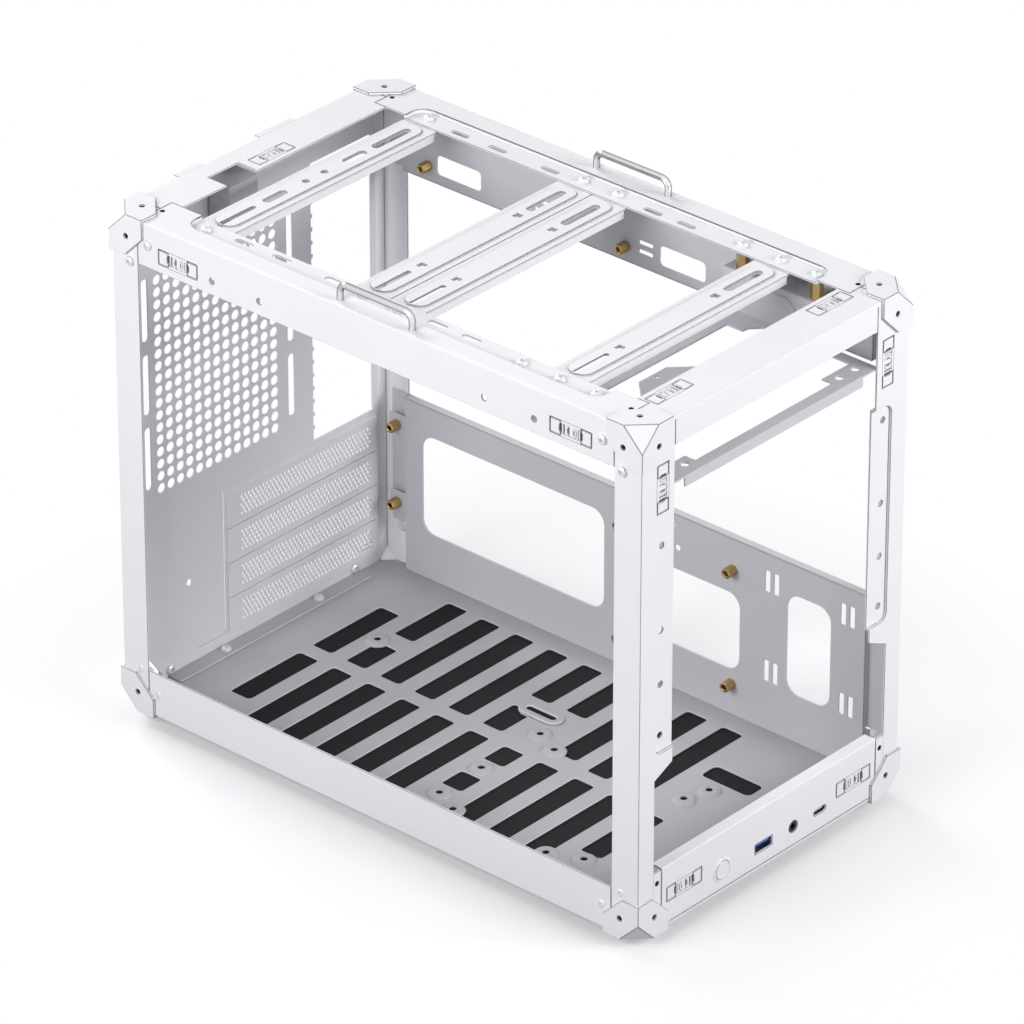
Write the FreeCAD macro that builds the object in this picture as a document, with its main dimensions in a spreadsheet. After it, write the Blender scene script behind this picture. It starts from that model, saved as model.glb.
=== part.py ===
"""Open-frame computer case for a micro-ATX board: folded white sheet, four posts, hexagonal corner caps.

The model stands on its rubber feet with the origin under its middle. X is its width, with the open
side at -X and the board tray at +X. Y is its depth, with the port flange in front at -Y.
Heights inside the model count from the pan's lower edge, and each sub-part's Placement lifts it by
the height of the feet.
"""
import FreeCAD, Part
import math
import os
import re

import Sketcher
from FreeCAD import Placement, Rotation, Vector

SIZES = [
    ("frame_width", 197.0),
    ("frame_depth", 343.2),
    ("frame_height", 280.5),
    ("sheet", 1.0),
    ("seam", 0.3),
    ("foot_height", 7.0),
    ("foot_radius", 10.0),
    ("foot_inset_x", 19.0),
    ("foot_inset_y", 32.0),
    ("floor_rise", 1.3),
    ("wall_height", 25.0),
    ("flange_height", 34.3),
    ("flange_half", 81.0),
    ("flange_lip", 7.0),
    ("vent_pitch", 23.35),
    ("vent_depth", 13.4),
    ("vent_first_y", 130.2),
    ("boss_radius", 6.4),
    ("boss_rise", 1.3),
    ("boss_bore", 1.9),
    ("post_side", 17.0),
    ("post_front", 23.7),
    ("post_rear_left", 15.5),
    ("post_rear_right", 11.5),
    ("post_recess_width", 25.5),
    ("post_recess_edge", 11.5),
    ("post_recess_low", 100.0),
    ("post_recess_high", 221.0),
    ("post_recess_depth", 1.5),
    ("post_foot_top", 86.0),
    ("tongue_reach", 11.5),
    ("rail_height", 24.0),
    ("rail_width", 24.7),
    ("ledge_width", 12.7),
    ("ledge_depth", 2.0),
    ("ledge_inset", 20.3),
    ("ledge_corner", 8.0),
    ("end_rail_height", 15.7),
    ("end_rail_width", 24.6),
    ("cap_size", 22.8),
    ("cap_proud", 1.5),
    ("cap_corner", 12.0),
    ("cap_back", 12.0),
    ("cap_hole", 1.3),
    ("bracket_width", 22.4),
    ("bracket_rear_y", 124.2),
    ("bracket_mid_rear_y", 21.3),
    ("bracket_mid_front_y", -1.3),
    ("bracket_front_y", -105.5),
    ("bracket_overlap", 13.5),
    ("bead_height", 0.8),
    ("screw_line", 17.5),
    ("rail_screw_inset", 6.9),
    ("rail_screw_drop", 11.6),
    ("post_screw_inset", 11.8),
    ("post_screw_drop", 24.2),
    ("screw_head", 2.7),
    ("screw_head_height", 1.9),
    ("screw_shank", 1.4),
    ("screw_length", 4.0),
    ("screw_clearance", 0.2),
    ("tray_gap", 4.5),
    ("tray_height", 104.5),
    ("tray_end", 153.7),
    ("tray_upper_low", 235.0),
    ("board_column", 158.7),
    ("board_row_low", 20.5),
    ("standoff_length", 6.5),
    ("standoff_radius", 2.9),
    ("standoff_bore", 1.25),
    ("stud_length", 2.5),
    ("grid_pitch", 6.95),
    ("grid_hole", 2.5),
    ("grid_left", -70.3),
    ("grid_low", 112.9),
    ("slot_pitch", 20.32),
    ("slot_low", 18.9),
    ("slot_left", -15.5),
    ("slot_right", 83.3),
    ("slot_tall", 13.0),
    ("cover_left", -24.5),
    ("cover_right", 88.0),
    ("io_left", 41.7),
    ("io_low", 94.1),
    ("io_wide", 44.45),
    ("io_tall", 158.75),
    ("psu_drop", 12.0),
    ("psu_plate_low", 243.0),
    ("psu_half", 78.0),
    ("psu_rear", -72.0),
    ("psu_open_rear", -87.0),
    ("psu_open_front", -157.0),
    ("psu_hole_wide", 69.0),
    ("psu_hole_narrow", 57.0),
    ("psu_screw_rear", -81.5),
    ("psu_screw_front", -128.4),
    ("psu_standoff_radius", 3.4),
    ("handle_inset", 5.0),
    ("handle_rear", 24.0),
    ("handle_front", -22.7),
    ("handle_rise", 10.5),
    ("handle_wire", 1.8),
    ("handle_bend", 4.5),
    ("clip_long", 26.3),
    ("clip_tall", 8.4),
    ("clip_depth", 3.0),
    ("clip_socket", 9.0),
    ("button_x", -35.6),
    ("port_z", 12.3),
    ("button_radius", 5.0),
    ("button_clearance", 0.3),
    ("button_proud", 0.6),
    ("button_travel", 1.2),
    ("usb_a_x", -4.5),
    ("usb_c_x", 38.6),
    ("jack_x", 18.2),
    ("board_level", 7.85),
    ("rear_flange_height", 10.0),
    ("inlet_left", -32.5),
    ("inlet_right", -12.0),
    ("inlet_low", 245.5),
    ("inlet_high", 272.5),
    ("inlet_inner_y", 155.0),
    ("hook_proud", 3.5),
    ("slot_shift", -3.2),
    ("fan_slot_width", 4.2),
    ("fan_slot_left", -79.4),
    ("fan_slot_spacing", 105.0),
    ("cover_hole_pitch", 9.8),
    ("cover_hole", 3.9),
    ("stud_radius", 1.4),
    ("screw_short", 2.3),
    ("board_thickness", 1.6),
    ("button_stem_end", 5.0),
    ("jack_radius", 1.8),
]
ALIASES = {alias for alias, _ in SIZES}

doc = FreeCAD.newDocument("ComputerCase")
sheet = doc.addObject("Spreadsheet::Sheet", "Sizes")
for row, (alias, value) in enumerate(SIZES, start=1):
    sheet.set(f"A{row}", alias)
    sheet.set(f"B{row}", str(value))
    sheet.setAlias(f"B{row}", alias)
doc.recompute()

LEFT = "-frame_width / 2"
RIGHT = "frame_width / 2"
FRONT = "-frame_depth / 2"
REAR = "frame_depth / 2"
TOP = "frame_height"
CENTRING = "(cap_proud - hook_proud) / 2"
FLOOR_TOP = "floor_rise + sheet"
RAIL_END = "frame_depth / 2 - post_side - seam"
PANEL_BACK = f"{REAR} - sheet"
PANEL_FACE = f"{REAR} - 2 * sheet"
LEDGE_TOP = "frame_height - ledge_depth"
LEDGE_UNDER = "frame_height - ledge_depth - sheet"
ROUND_SIDES = 16
SMALL_SIDES = 8
MITRED = 1
PLANE_ROLES = {"XY": "XY_Plane", "XZ": "XZ_Plane", "YZ": "YZ_Plane"}
AXIS_TURNS = {
    "+X": Rotation(Vector(0, 1, 0), 90),
    "-X": Rotation(Vector(0, 1, 0), -90),
    "+Y": Rotation(Vector(1, 0, 0), -90),
    "-Y": Rotation(Vector(1, 0, 0), 90),
    "+Z": Rotation(),
    "-Z": Rotation(Vector(1, 0, 0), 180),
}


def size(alias):
    """Return one value of the sheet as a number of millimetres."""
    return float(getattr(sheet, alias))


def tied(expression):
    """Point each size name of an expression at its cell in the sheet."""
    def cell(match):
        word = match.group(0)
        return f"Sizes.{word}" if word in ALIASES else word

    return re.sub(r"[a-z][a-z_]*", cell, str(expression))


def lift(thing):
    """Raise a finished sub-part by the height of the feet and centre the case along its depth."""
    thing.setExpression(".Placement.Base.y", tied(CENTRING))
    thing.setExpression(".Placement.Base.z", tied("foot_height"))
    return thing


# Sketch outlines

def rectangle(sketch, low_u, high_u, low_v, high_v):
    """Draw a rectangle whose four sides are bound to the sheet."""
    first = sketch.GeometryCount
    corners = [Vector(-1, -1, 0), Vector(1, -1, 0), Vector(1, 1, 0), Vector(-1, 1, 0)]
    for index in range(4):
        sketch.addGeometry(Part.LineSegment(corners[index], corners[(index + 1) % 4]))
    for index in range(4):
        after = first + (index + 1) % 4
        sketch.addConstraint(Sketcher.Constraint("Coincident", first + index, 2, after, 1))
    for index, kind in enumerate(("Horizontal", "Vertical", "Horizontal", "Vertical")):
        sketch.addConstraint(Sketcher.Constraint(kind, first + index))
    sides = (
        ("DistanceX", first, 1, -1.0, low_u),
        ("DistanceX", first + 1, 2, 1.0, high_u),
        ("DistanceY", first, 1, -1.0, low_v),
        ("DistanceY", first + 1, 2, 1.0, high_v),
    )
    for kind, edge, end, start, expression in sides:
        index = sketch.addConstraint(Sketcher.Constraint(kind, -1, 1, edge, end, start))
        sketch.setExpression(f"Constraints[{index}]", tied(expression))


def polygon(points):
    """Return the closed outline through the given points."""
    corners = [Vector(u, v, 0) for u, v in points]
    return [Part.LineSegment(a, b) for a, b in zip(corners, corners[1:] + corners[:1])]


def hexagon(u, v, radius):
    turns = [math.radians(60 * step) for step in range(6)]
    return polygon([(u + radius * math.cos(turn), v + radius * math.sin(turn)) for turn in turns])


def corner(u, v, radius, start, steps):
    """Return the points of a quarter turn from a start angle, drawn outside its circle in even steps."""
    angle = math.pi / 2 / steps
    reach = radius / math.cos(angle / 2)
    turns = [math.radians(start) + (step + 0.5) * angle for step in range(steps)]
    return [(u + reach * math.cos(turn), v + reach * math.sin(turn)) for turn in turns]


def rounded(low_u, high_u, low_v, high_v, radius, steps=2):
    """Return a rectangle whose corners turn in a few even steps, which keeps many cut-outs light."""
    points = corner(high_u - radius, low_v + radius, radius, -90, steps)
    points += corner(high_u - radius, high_v - radius, radius, 0, steps)
    points += corner(low_u + radius, high_v - radius, radius, 90, steps)
    points += corner(low_u + radius, low_v + radius, radius, 180, steps)
    return polygon(points)


def slot(low_u, high_u, low_v, high_v):
    """Return a slot with full round ends."""
    return rounded(low_u, high_u, low_v, high_v, min(high_u - low_u, high_v - low_v) / 2)


def disc(u, v, radius, steps=2):
    """Return a round outline."""
    return rounded(u - radius, u + radius, v - radius, v + radius, radius, steps)


def circle(u, v, radius):
    """Return a true circle, for the holes that another product is bolted through."""
    return [Part.Circle(Vector(u, v, 0), Vector(0, 0, 1), radius)]


def bar(low_u, high_u, low_v, high_v):
    """Return a plain rectangle from numbers."""
    return polygon([(low_u, low_v), (high_u, low_v), (high_u, high_v), (low_u, high_v)])


# Bodies of folded sheet

def new_body(label):
    body = doc.addObject("PartDesign::Body", label)
    body.Label = label
    return body


def origin_plane(body, plane):
    role = PLANE_ROLES[plane]
    return next(item for item in body.Origin.OriginFeatures if item.Role == role)


def new_sketch(body, name, plane, span, outline, holes):
    """Draw an outline with its holes on an origin plane moved to the start of the span."""
    sketch = body.newObject("Sketcher::SketchObject", name + "_sketch")
    sketch.AttachmentSupport = (origin_plane(body, plane), [""])
    sketch.MapMode = "FlatFace"
    level = f"-({span[1]})" if plane == "XZ" else span[0]
    sketch.setExpression("AttachmentOffset.Base.z", tied(level))
    edges = []
    for loop in [outline, *holes]:
        if isinstance(loop, tuple):
            rectangle(sketch, *loop)
        elif loop:
            edges += loop
    sketch.addGeometry(edges, False)
    return sketch


def add_plate(body, name, plane, span, outline, holes=()):
    """Add a flat wall that fills the span along the plane's normal."""
    pad = body.newObject("PartDesign::Pad", name)
    pad.Profile = new_sketch(body, name, plane, span, outline, holes)
    pad.setExpression("Length", tied(f"({span[1]}) - ({span[0]})"))
    return pad


def cut_plate(body, name, plane, span, outline, holes=()):
    """Remove what lies inside the outlines over the span."""
    pocket = body.newObject("PartDesign::Pocket", name)
    pocket.Profile = new_sketch(body, name, plane, span, outline, holes)
    pocket.Reversed = True
    pocket.setExpression("Length", tied(f"({span[1]}) - ({span[0]})"))
    return pocket


# Plain solids and booleans

def place(thing, x, y, z, turn=None):
    """Put an object at a bound position, turned if asked."""
    thing.Placement = Placement(Vector(0, 0, 0), turn or Rotation())
    for axis, expression in zip("xyz", (x, y, z)):
        thing.setExpression(f".Placement.Base.{axis}", tied(expression))
    return thing


def block(name, x, y, z):
    """Make a box between pairs of bound faces."""
    box = doc.addObject("Part::Box", name)
    for prop, (low, high) in zip(("Length", "Width", "Height"), (x, y, z)):
        box.setExpression(prop, tied(f"({high}) - ({low})"))
    return place(box, x[0], y[0], z[0])


def rod(name, radius, length, x="0", y="0", z="0", way="+Z", sides=ROUND_SIDES):
    """Make a round bar as an even prism, from its start along one axis."""
    prism = doc.addObject("Part::Prism", name)
    prism.Polygon = sides
    prism.setExpression("Circumradius", tied(radius))
    prism.setExpression("Height", tied(length))
    return place(prism, x, y, z, AXIS_TURNS[way])


def hex_rod(name, radius, length, x="0", y="0", z="0", way="+Z"):
    return rod(name, radius, length, x, y, z, way, 6)


def drill(name, radius, length, x="0", y="0", z="0", way="+Z"):
    """Make a true cylinder, for a bore that a bolt seats in."""
    cylinder = doc.addObject("Part::Cylinder", name)
    cylinder.setExpression("Radius", tied(radius))
    cylinder.setExpression("Height", tied(length))
    return place(cylinder, x, y, z, AXIS_TURNS[way])


def join(name, pieces):
    fused = doc.addObject("Part::MultiFuse", name)
    fused.Shapes = pieces
    return fused


def group(name, pieces):
    """Hold separate solids together as one sub-part."""
    held = doc.addObject("Part::Compound", name)
    held.Links = pieces
    return held


def cut(name, base, tools):
    result = doc.addObject("Part::Cut", name)
    result.Base = base
    result.Tool = tools[0] if len(tools) == 1 else group(name + "_tools", tools)
    return result


def copy_at(name, master, x, y, z, turn=None):
    """Repeat a master solid at a bound position."""
    return place(group(name, [master]), x, y, z, turn)


# Panel clips

def clip_places():
    """Return each clip's centre, outward direction and whether it stands upright."""
    rail_z = "frame_height - 15.3"
    post_x = "frame_width / 2 - 15.3"
    flange_x = "flange_half - 16.8"
    places = []
    for side, way in ((LEFT, "-X"), (RIGHT, "+X")):
        places.append((side, "127.4", rail_z, way, False))
        places.append((side, "-127.4", rail_z, way, False))
    for sign in ("-", ""):
        places.append((f"{sign}({post_x})", FRONT, "245.2", "-Y", True))
        places.append((f"{sign}({flange_x})", FRONT, "17.6", "-Y", False))
        places.append((f"{sign}59", f"{FRONT} + 17.4", TOP, "+Z", False))
    places.append(("-2.4", f"{REAR} - 17.3", TOP, "+Z", False))
    return places


def clip_cut(u, v, upright=False):
    """Return the bound rectangle of a clip's cut-out round a centre."""
    long_u, long_v = ("clip_tall", "clip_long") if upright else ("clip_long", "clip_tall")
    return (f"{u} - {long_u} / 2", f"{u} + {long_u} / 2", f"{v} - {long_v} / 2", f"{v} + {long_v} / 2")


def make_clip_master():
    """A snap socket: flush face, wider back plate and a socket for the panel's ball stud."""
    body = new_body("clip_master")
    half_long = "(clip_long - seam) / 2"
    half_tall = "(clip_tall - seam) / 2"
    face = (f"-{half_long}", half_long, f"-{half_tall}", half_tall)
    back = ("-clip_long / 2 - 1", "clip_long / 2 + 1", "-clip_tall / 2 - 0.8", "clip_tall / 2 + 0.8")
    add_plate(body, "clip_face", "XY", ("-sheet", "0"), face)
    add_plate(body, "clip_back", "XY", ("-sheet - 1", "-sheet"), back)
    socket = ("-clip_socket / 2", "clip_socket / 2", "-clip_tall / 2 + 0.6", "clip_tall / 2 - 0.6")
    add_plate(body, "clip_socket_wall", "XY", ("-sheet - clip_depth", "-sheet - 1"), socket)
    cut_plate(body, "clip_bore", "XY", ("-sheet - clip_depth + 0.5", "0"), hexagon(0, 0, 2.2))
    return body


def make_clips():
    master = make_clip_master()
    upright = Rotation(Vector(0, 0, 1), 90)
    across = {"-X": upright, "+X": upright, "-Y": Rotation(), "+Z": Rotation()}
    clips = []
    for index, (x, y, z, way, stands) in enumerate(clip_places(), start=1):
        turn = AXIS_TURNS[way].multiply(across[way])
        if stands:
            turn = turn.multiply(upright)
        clips.append(copy_at(f"clip_{index}", master, x, y, z, turn))
    return group("panel_clips", clips)


# Base pan

VENT_BANKS = ((-83.5, -5.6), (3.3, 81.3))
VENT_SPECIAL = {
    0: ((-58.0, -6.0), (3.3, 55.5)),
    1: ((-83.5, -5.6), (3.3, 28.0), (39.8, 82.0)),
    5: ((-83.5, -5.6), (3.3, 28.0), (40.0, 81.3)),
    6: ((-53.4, -37.8), (-22.0, -5.7), (40.5, 81.3)),
    7: ((-83.5, -5.6), (6.4, 81.3)),
    10: ((-55.0, -6.4),),
}
BOSSES = (
    (28.6, 114.6), (13.4, -10.2), (6.4, -25.7), (-30.6, -9.8), (-62.1, -10.0),
    (-69.4, -25.5), (-69.4, -86.9), (-61.6, -105.0), (14.0, -104.7), (28.6, -108.8),
)
SLOT_BOSS = (29.0, -6.8, 12.3)
CROSS_SLOT = (37.9, 50.1, -126.4, -95.1)
VENT_ROWS = 11
PANEL_SCREWS = (-67.7, 70.8)


def corner_depth():
    """How far a corner is cut back, summed over the three axes, to clear a cap's inner web."""
    return size("cap_corner") + (math.sqrt(3) - 3) * size("cap_proud") + size("seam")


def panel_screw_z():
    return size("floor_rise") + 2 * size("sheet") + size("screw_head") + size("screw_clearance")


def vent_holes():
    """Rows of slots in two banks, shortened where a boss or the pan's end takes the room."""
    holes = []
    half = size("vent_depth") / 2
    for row in range(VENT_ROWS):
        middle = size("vent_first_y") - row * size("vent_pitch")
        for left, right in VENT_SPECIAL.get(row, VENT_BANKS):
            holes.append(rounded(left, right, middle - half, middle + half, 2.0))
    holes.append(rounded(*CROSS_SLOT, 3.0))
    return holes


def floor_outline():
    """The floor reaches the side walls between the posts, and stays inside the posts and caps."""
    half_x = size("frame_width") / 2
    half_y = size("frame_depth") / 2
    fold = size("sheet") + size("seam")
    inner_x = half_x - fold
    inner_y = half_y - fold
    end = half_y - size("post_side") - size("seam")
    corner = corner_depth() - 2 * fold - size("floor_rise")
    front = size("flange_half")
    rear = half_x - size("post_front") - size("seam")
    right = [(front, -half_y), (front, -inner_y), (inner_x - corner, -inner_y)]
    right += [(inner_x, -inner_y + corner)]
    right += [(inner_x, -end), (half_x, -end), (half_x, end), (inner_x, end), (inner_x, inner_y - corner)]
    right += [(inner_x - corner, inner_y), (rear, inner_y), (rear, half_y)]
    left = [(-x, y) for x, y in reversed(right)]
    return polygon(right + left)


def port_cuts():
    """Openings of the front flange, on the XZ plane."""
    level = size("port_z")
    usb_a = size("usb_a_x")
    usb_c = size("usb_c_x")
    return [
        disc(size("button_x"), level, size("button_radius") + size("button_clearance"), 4),
        bar(usb_a - 6.7, usb_a + 6.7, level - 3.0, level + 3.0),
        disc(size("jack_x"), level, 3.3, 4),
        slot(usb_c - 4.8, usb_c + 4.8, level - 1.9, level + 1.9),
    ]


def make_base_pan():
    body = new_body("base_pan")
    add_plate(body, "pan_floor", "XY", ("floor_rise", FLOOR_TOP), floor_outline(), vent_holes())
    walls = (("pan_wall_left", (LEFT, f"{LEFT} + sheet")), ("pan_wall_right", (f"{RIGHT} - sheet", RIGHT)))
    for name, span in walls:
        add_plate(body, name, "YZ", span, (f"-({RAIL_END})", RAIL_END, "0", "wall_height"))
    flange = ("-flange_half", "flange_half", "0", "flange_height")
    clips = [clip_cut("-(flange_half - 16.8)", "17.6"), clip_cut("flange_half - 16.8", "17.6")]
    add_plate(body, "pan_flange", "XZ", (FRONT, f"{FRONT} + sheet"), flange, clips + port_cuts())
    lip = ("-flange_half", "flange_half", FRONT, f"{FRONT} + flange_lip")
    add_plate(body, "pan_lip", "XY", ("flange_height - sheet", "flange_height"), lip)
    half = "frame_width / 2 - post_front - seam"
    screws = [screw_hole(x, panel_screw_z()) for x in PANEL_SCREWS]
    rear_flange = (f"-({half})", half, "0", "rear_flange_height")
    add_plate(body, "pan_rear_flange", "XZ", (f"{REAR} - sheet", REAR), rear_flange, screws)
    discs = [disc(x, y, size("boss_radius"), 3) for x, y in BOSSES]
    slot_x, slot_low, slot_high = SLOT_BOSS
    rim = 4.2
    discs.append(slot(slot_x - 5.8, slot_x + 5.8, slot_low - rim, slot_high + rim))
    add_plate(body, "pan_bosses", "XY", ("floor_rise", f"{FLOOR_TOP} + boss_rise"), None, discs)
    bores = [disc(x, y, size("boss_bore")) for x, y in BOSSES]
    bores.append(slot(slot_x - 1.8, slot_x + 1.8, slot_low, slot_high))
    bores += [screw_hole(x, y) for x, y in floor_screw_places()]
    cut_plate(body, "pan_bores", "XY", ("0", f"{FLOOR_TOP} + 2 * boss_rise"), None, bores)
    return lift(body)


def filter_outline(inset):
    """A rectangle without its corners, where the feet stand."""
    wide = 87.0 - inset
    narrow = 66.0 - inset
    step = 128.0 - inset
    end = 141.0 - inset
    right = [(narrow, -end), (narrow, -step), (wide, -step), (wide, step), (narrow, step), (narrow, end)]
    return polygon(right + [(-x, y) for x, y in reversed(right)])


def make_dust_filter():
    """The black mesh under the vents, with its border thickened."""
    body = new_body("dust_filter")
    add_plate(body, "filter_mesh", "XY", ("floor_rise - 0.4", "floor_rise"), filter_outline(0.0))
    border = filter_outline(0.0)
    window = filter_outline(2.5)
    add_plate(body, "filter_border", "XY", ("0.2", "floor_rise - 0.4"), border, [window])
    return lift(body)


# Feet

def make_feet():
    """Four round rubber feet, hollow underneath, that carry the pan's floor."""
    feet = []
    for side in ("-", ""):
        for end in ("-", ""):
            name = f"foot_{len(feet) + 1}"
            x = f"{side}(frame_width / 2 - foot_inset_x)"
            y = f"{end}(frame_depth / 2 - foot_inset_y)"
            whole = rod(name + "_rubber", "foot_radius", "foot_height + floor_rise", x, y, "-foot_height")
            recess = rod(name + "_recess", "foot_radius / 2.5", "foot_height / 2", x, y, "-foot_height",
                         sides=SMALL_SIDES)
            feet.append(cut(name, whole, [recess]))
    return lift(group("feet", feet))


# Posts and corner caps

def from_face(face, near, far):
    """Return the span between two depths measured inward from an outer face."""
    if face in (LEFT, FRONT):
        return (f"{face} + ({near})", f"{face} + ({far})")
    return (f"{face} - ({far})", f"{face} - ({near})")


def sign_of(face):
    return -1 if face in (LEFT, FRONT) else 1


def at_depth(face, depth):
    """Return the coordinate that lies a depth inside a side or end face."""
    overall = size("frame_width") if face in (LEFT, RIGHT) else size("frame_depth")
    return sign_of(face) * (overall / 2 - depth)


def slicing_block(name, point, normal):
    """A large block whose flat underside passes through a point and faces against the normal."""
    reach = 60.0
    box = doc.addObject("Part::Box", name)
    box.Length = reach
    box.Width = reach
    box.Height = reach / 2
    turn = Rotation(Vector(0, 0, 1), normal)
    middle = turn.multVec(Vector(reach / 2, reach / 2, 0))
    box.Placement = Placement(point - middle, turn)
    return box


def corner_slice(name, side, end, top):
    """The plane behind a corner cap's truncated corner."""
    height = size("frame_height") if top else 0.0
    outward = Vector(sign_of(side), sign_of(end), 1 if top else -1)
    corner = Vector(at_depth(side, 0), at_depth(end, 0), height)
    return slicing_block(name, corner - outward * (corner_depth() / 3), outward)


def front_leg_outline(side):
    """The stepped outline of a front post's leg, from its foot up to the wide panel seat."""
    edge = size("post_recess_edge")
    foot = size("post_foot_top")
    low = size("post_recess_low")
    high = size("post_recess_high") + size("sheet")
    wide = size("post_recess_width")
    narrow = size("post_front")
    top = size("frame_height") - size("sheet")
    steps = [(0, 0), (edge, 0), (edge, foot), (wide - 1, foot + 6), (wide - 1, low), (wide, low)]
    steps += [(wide, high), (narrow, high), (narrow, top), (0, top)]
    return polygon([(at_depth(side, depth), z) for depth, z in steps])


def rear_leg(side):
    """A rear post's width across the back: it leaves the fan slots and the port aperture open."""
    return "post_rear_left" if side == LEFT else "post_rear_right"


def screw_hole(u, v):
    return disc(u, v, size("screw_shank") + size("screw_clearance"))


def rail_screw_y():
    return size("frame_depth") / 2 - size("post_side") - size("seam") - size("rail_screw_inset")


def rail_screw_z():
    return size("frame_height") - size("rail_screw_drop")


def post_screw_y():
    return size("frame_depth") / 2 - size("post_screw_inset")


def post_screw_z():
    return size("frame_height") - size("post_screw_drop")


def add_post_recess(body, name, side, end):
    """Joggle the panel seat inward, with rounded corners on its outer side."""
    low = size("post_recess_low")
    high = size("post_recess_high")
    edge = size("post_recess_edge")
    wide = size("post_recess_width")
    wall = size("sheet")
    seat = half_rounded(at_depth(side, wide), at_depth(side, edge - wall), low - wall, high + wall, 6.0)
    add_plate(body, name + "_seat", "XZ", from_face(end, "0", "post_recess_depth + sheet"), seat)
    hollow = half_rounded(at_depth(side, wide + wall), at_depth(side, edge), low, high, 5.0)
    cut_plate(body, name + "_hollow", "XZ", from_face(end, "-sheet", "post_recess_depth"), hollow)
    line = at_depth(side, edge + 5.0)
    holes = [disc(line, z, 1.6) for z in (213.3, 167.0, 137.4, 109.2)]
    cut_plate(body, name + "_holes", "XZ", from_face(end, "0", "5 * sheet"), None, holes)


def half_rounded(edge_u, far_u, low_v, high_v, radius):
    """Return a rectangle whose two corners away from the edge are rounded."""
    if far_u > edge_u:
        turns = corner(far_u - radius, low_v + radius, radius, -90, 3)
        turns += corner(far_u - radius, high_v - radius, radius, 0, 3)
        return polygon([(edge_u, low_v), *turns, (edge_u, high_v)])
    turns = corner(far_u + radius, high_v - radius, radius, 90, 3)
    turns += corner(far_u + radius, low_v + radius, radius, 180, 3)
    return polygon([(edge_u, high_v), *turns, (edge_u, low_v)])


def add_tongues(body, name, side, end):
    """Tongues that reach behind the neighbouring rail and pan wall."""
    inside = from_face(side, "sheet", "2 * sheet")
    reach = from_face(end, "post_side - 6", "post_side + seam + tongue_reach")
    upper = (*reach, f"{TOP} - rail_height + 1.5", f"{TOP} - 2.5")
    add_plate(body, name + "_rail_tongue", "YZ", inside, upper)
    lower = (*reach, f"{FLOOR_TOP} + seam", "wall_height - 3")
    add_plate(body, name + "_pan_tongue", "YZ", inside, lower)
    if end == FRONT:
        across = from_face(side, "post_front - 6", "post_front + seam + 9")
        tongue = (*across, f"{TOP} - end_rail_height + 1.5", f"{TOP} - 2.5")
        add_plate(body, name + "_end_tongue", "XZ", from_face(end, "sheet", "2 * sheet"), tongue)


def make_post(name, side, end):
    body = new_body(name + "_sheet")
    leg_top = f"{TOP} - sheet"
    wall = (*from_face(end, "0", "post_side"), "0", leg_top)
    add_plate(body, name + "_side", "YZ", from_face(side, "0", "sheet"), wall)
    if end == FRONT:
        clip = clip_cut(f"{'-' if side == LEFT else ''}(frame_width / 2 - 15.3)", "245.2", True)
        leg = front_leg_outline(side)
        add_plate(body, name + "_leg", "XZ", from_face(end, "0", "sheet"), leg, [clip])
        add_post_recess(body, name, side, end)
    else:
        leg = (*from_face(side, "0", rear_leg(side)), "0", leg_top)
        add_plate(body, name + "_leg", "XZ", from_face(end, "0", "sheet"), leg)
    tab = (*from_face(side, "0", "post_side - sheet + seam"), *from_face(end, "0", "post_side"))
    add_plate(body, name + "_top", "XY", (leg_top, TOP), tab)
    add_plate(body, name + "_bottom", "XY", ("0", "sheet"), tab)
    add_tongues(body, name, side, end)
    holes = [
        screw_hole(sign_of(end) * rail_screw_y(), rail_screw_z()),
        screw_hole(sign_of(end) * post_screw_y(), post_screw_z()),
    ]
    cut_plate(body, name + "_screw_holes", "YZ", from_face(side, "-sheet", "4 * sheet"), None, holes)
    slices = [
        corner_slice(name + "_top_slice", side, end, True),
        corner_slice(name + "_bottom_slice", side, end, False),
    ]
    return lift(cut(name, body, slices))


def make_cap_master():
    """Three hexagonal walls meeting at a truncated corner, with the corner at the origin."""
    body = new_body("cap_walls")
    span = ("0", "cap_proud")
    full = size("cap_size")
    back = full - size("cap_back")
    middle = size("cap_proud") + 10.5
    for plane in ("XY", "XZ", "YZ"):
        outline = polygon([(0, 0), (full, 0), (full, back), (back, full), (0, full)])
        hole = disc(middle, middle, size("cap_hole"))
        add_plate(body, f"cap_wall_{plane}", plane, span, outline, [hole])
    depth = size("cap_corner")
    inner = depth + math.sqrt(3) * size("cap_proud")
    inward = Vector(1, 1, 1)
    fill = block("cap_fill", ("0", "cap_corner"), ("0", "cap_corner"), ("0", "cap_corner"))
    web = cut("cap_web", fill, [slicing_block("cap_inner_slice", inward * (inner / 3), inward)])
    whole = join("cap_whole", [body, web])
    return cut("cap_master", whole, [slicing_block("cap_outer_slice", inward * (depth / 3), inward * -1)])


def make_caps():
    master = make_cap_master()
    caps = {}
    turns = {("left", "front"): 0, ("right", "front"): 90, ("right", "rear"): 180, ("left", "rear"): 270}
    for (side, end), angle in turns.items():
        x = f"{LEFT} - cap_proud" if side == "left" else f"{RIGHT} + cap_proud"
        y = f"{FRONT} - cap_proud + {CENTRING}" if end == "front" else f"{REAR} + cap_proud + {CENTRING}"
        spin = Rotation(Vector(0, 0, 1), angle)
        low = copy_at(f"cap_bottom_{end}_{side}", master, x, y, "foot_height - cap_proud", spin)
        over = spin.multiply(Rotation(Vector(1, 1, 0), 180))
        high = copy_at(f"cap_top_{end}_{side}", master, x, y, f"foot_height + {TOP} + cap_proud", over)
        caps[low.Name] = low
        caps[high.Name] = high
    return caps


# Rails

def bracket_places():
    return ("bracket_rear_y", "bracket_mid_rear_y", "bracket_mid_front_y", "bracket_front_y")


def ledge_screws():
    return bracket_places() + ("psu_screw_rear", "psu_screw_front")


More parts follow.
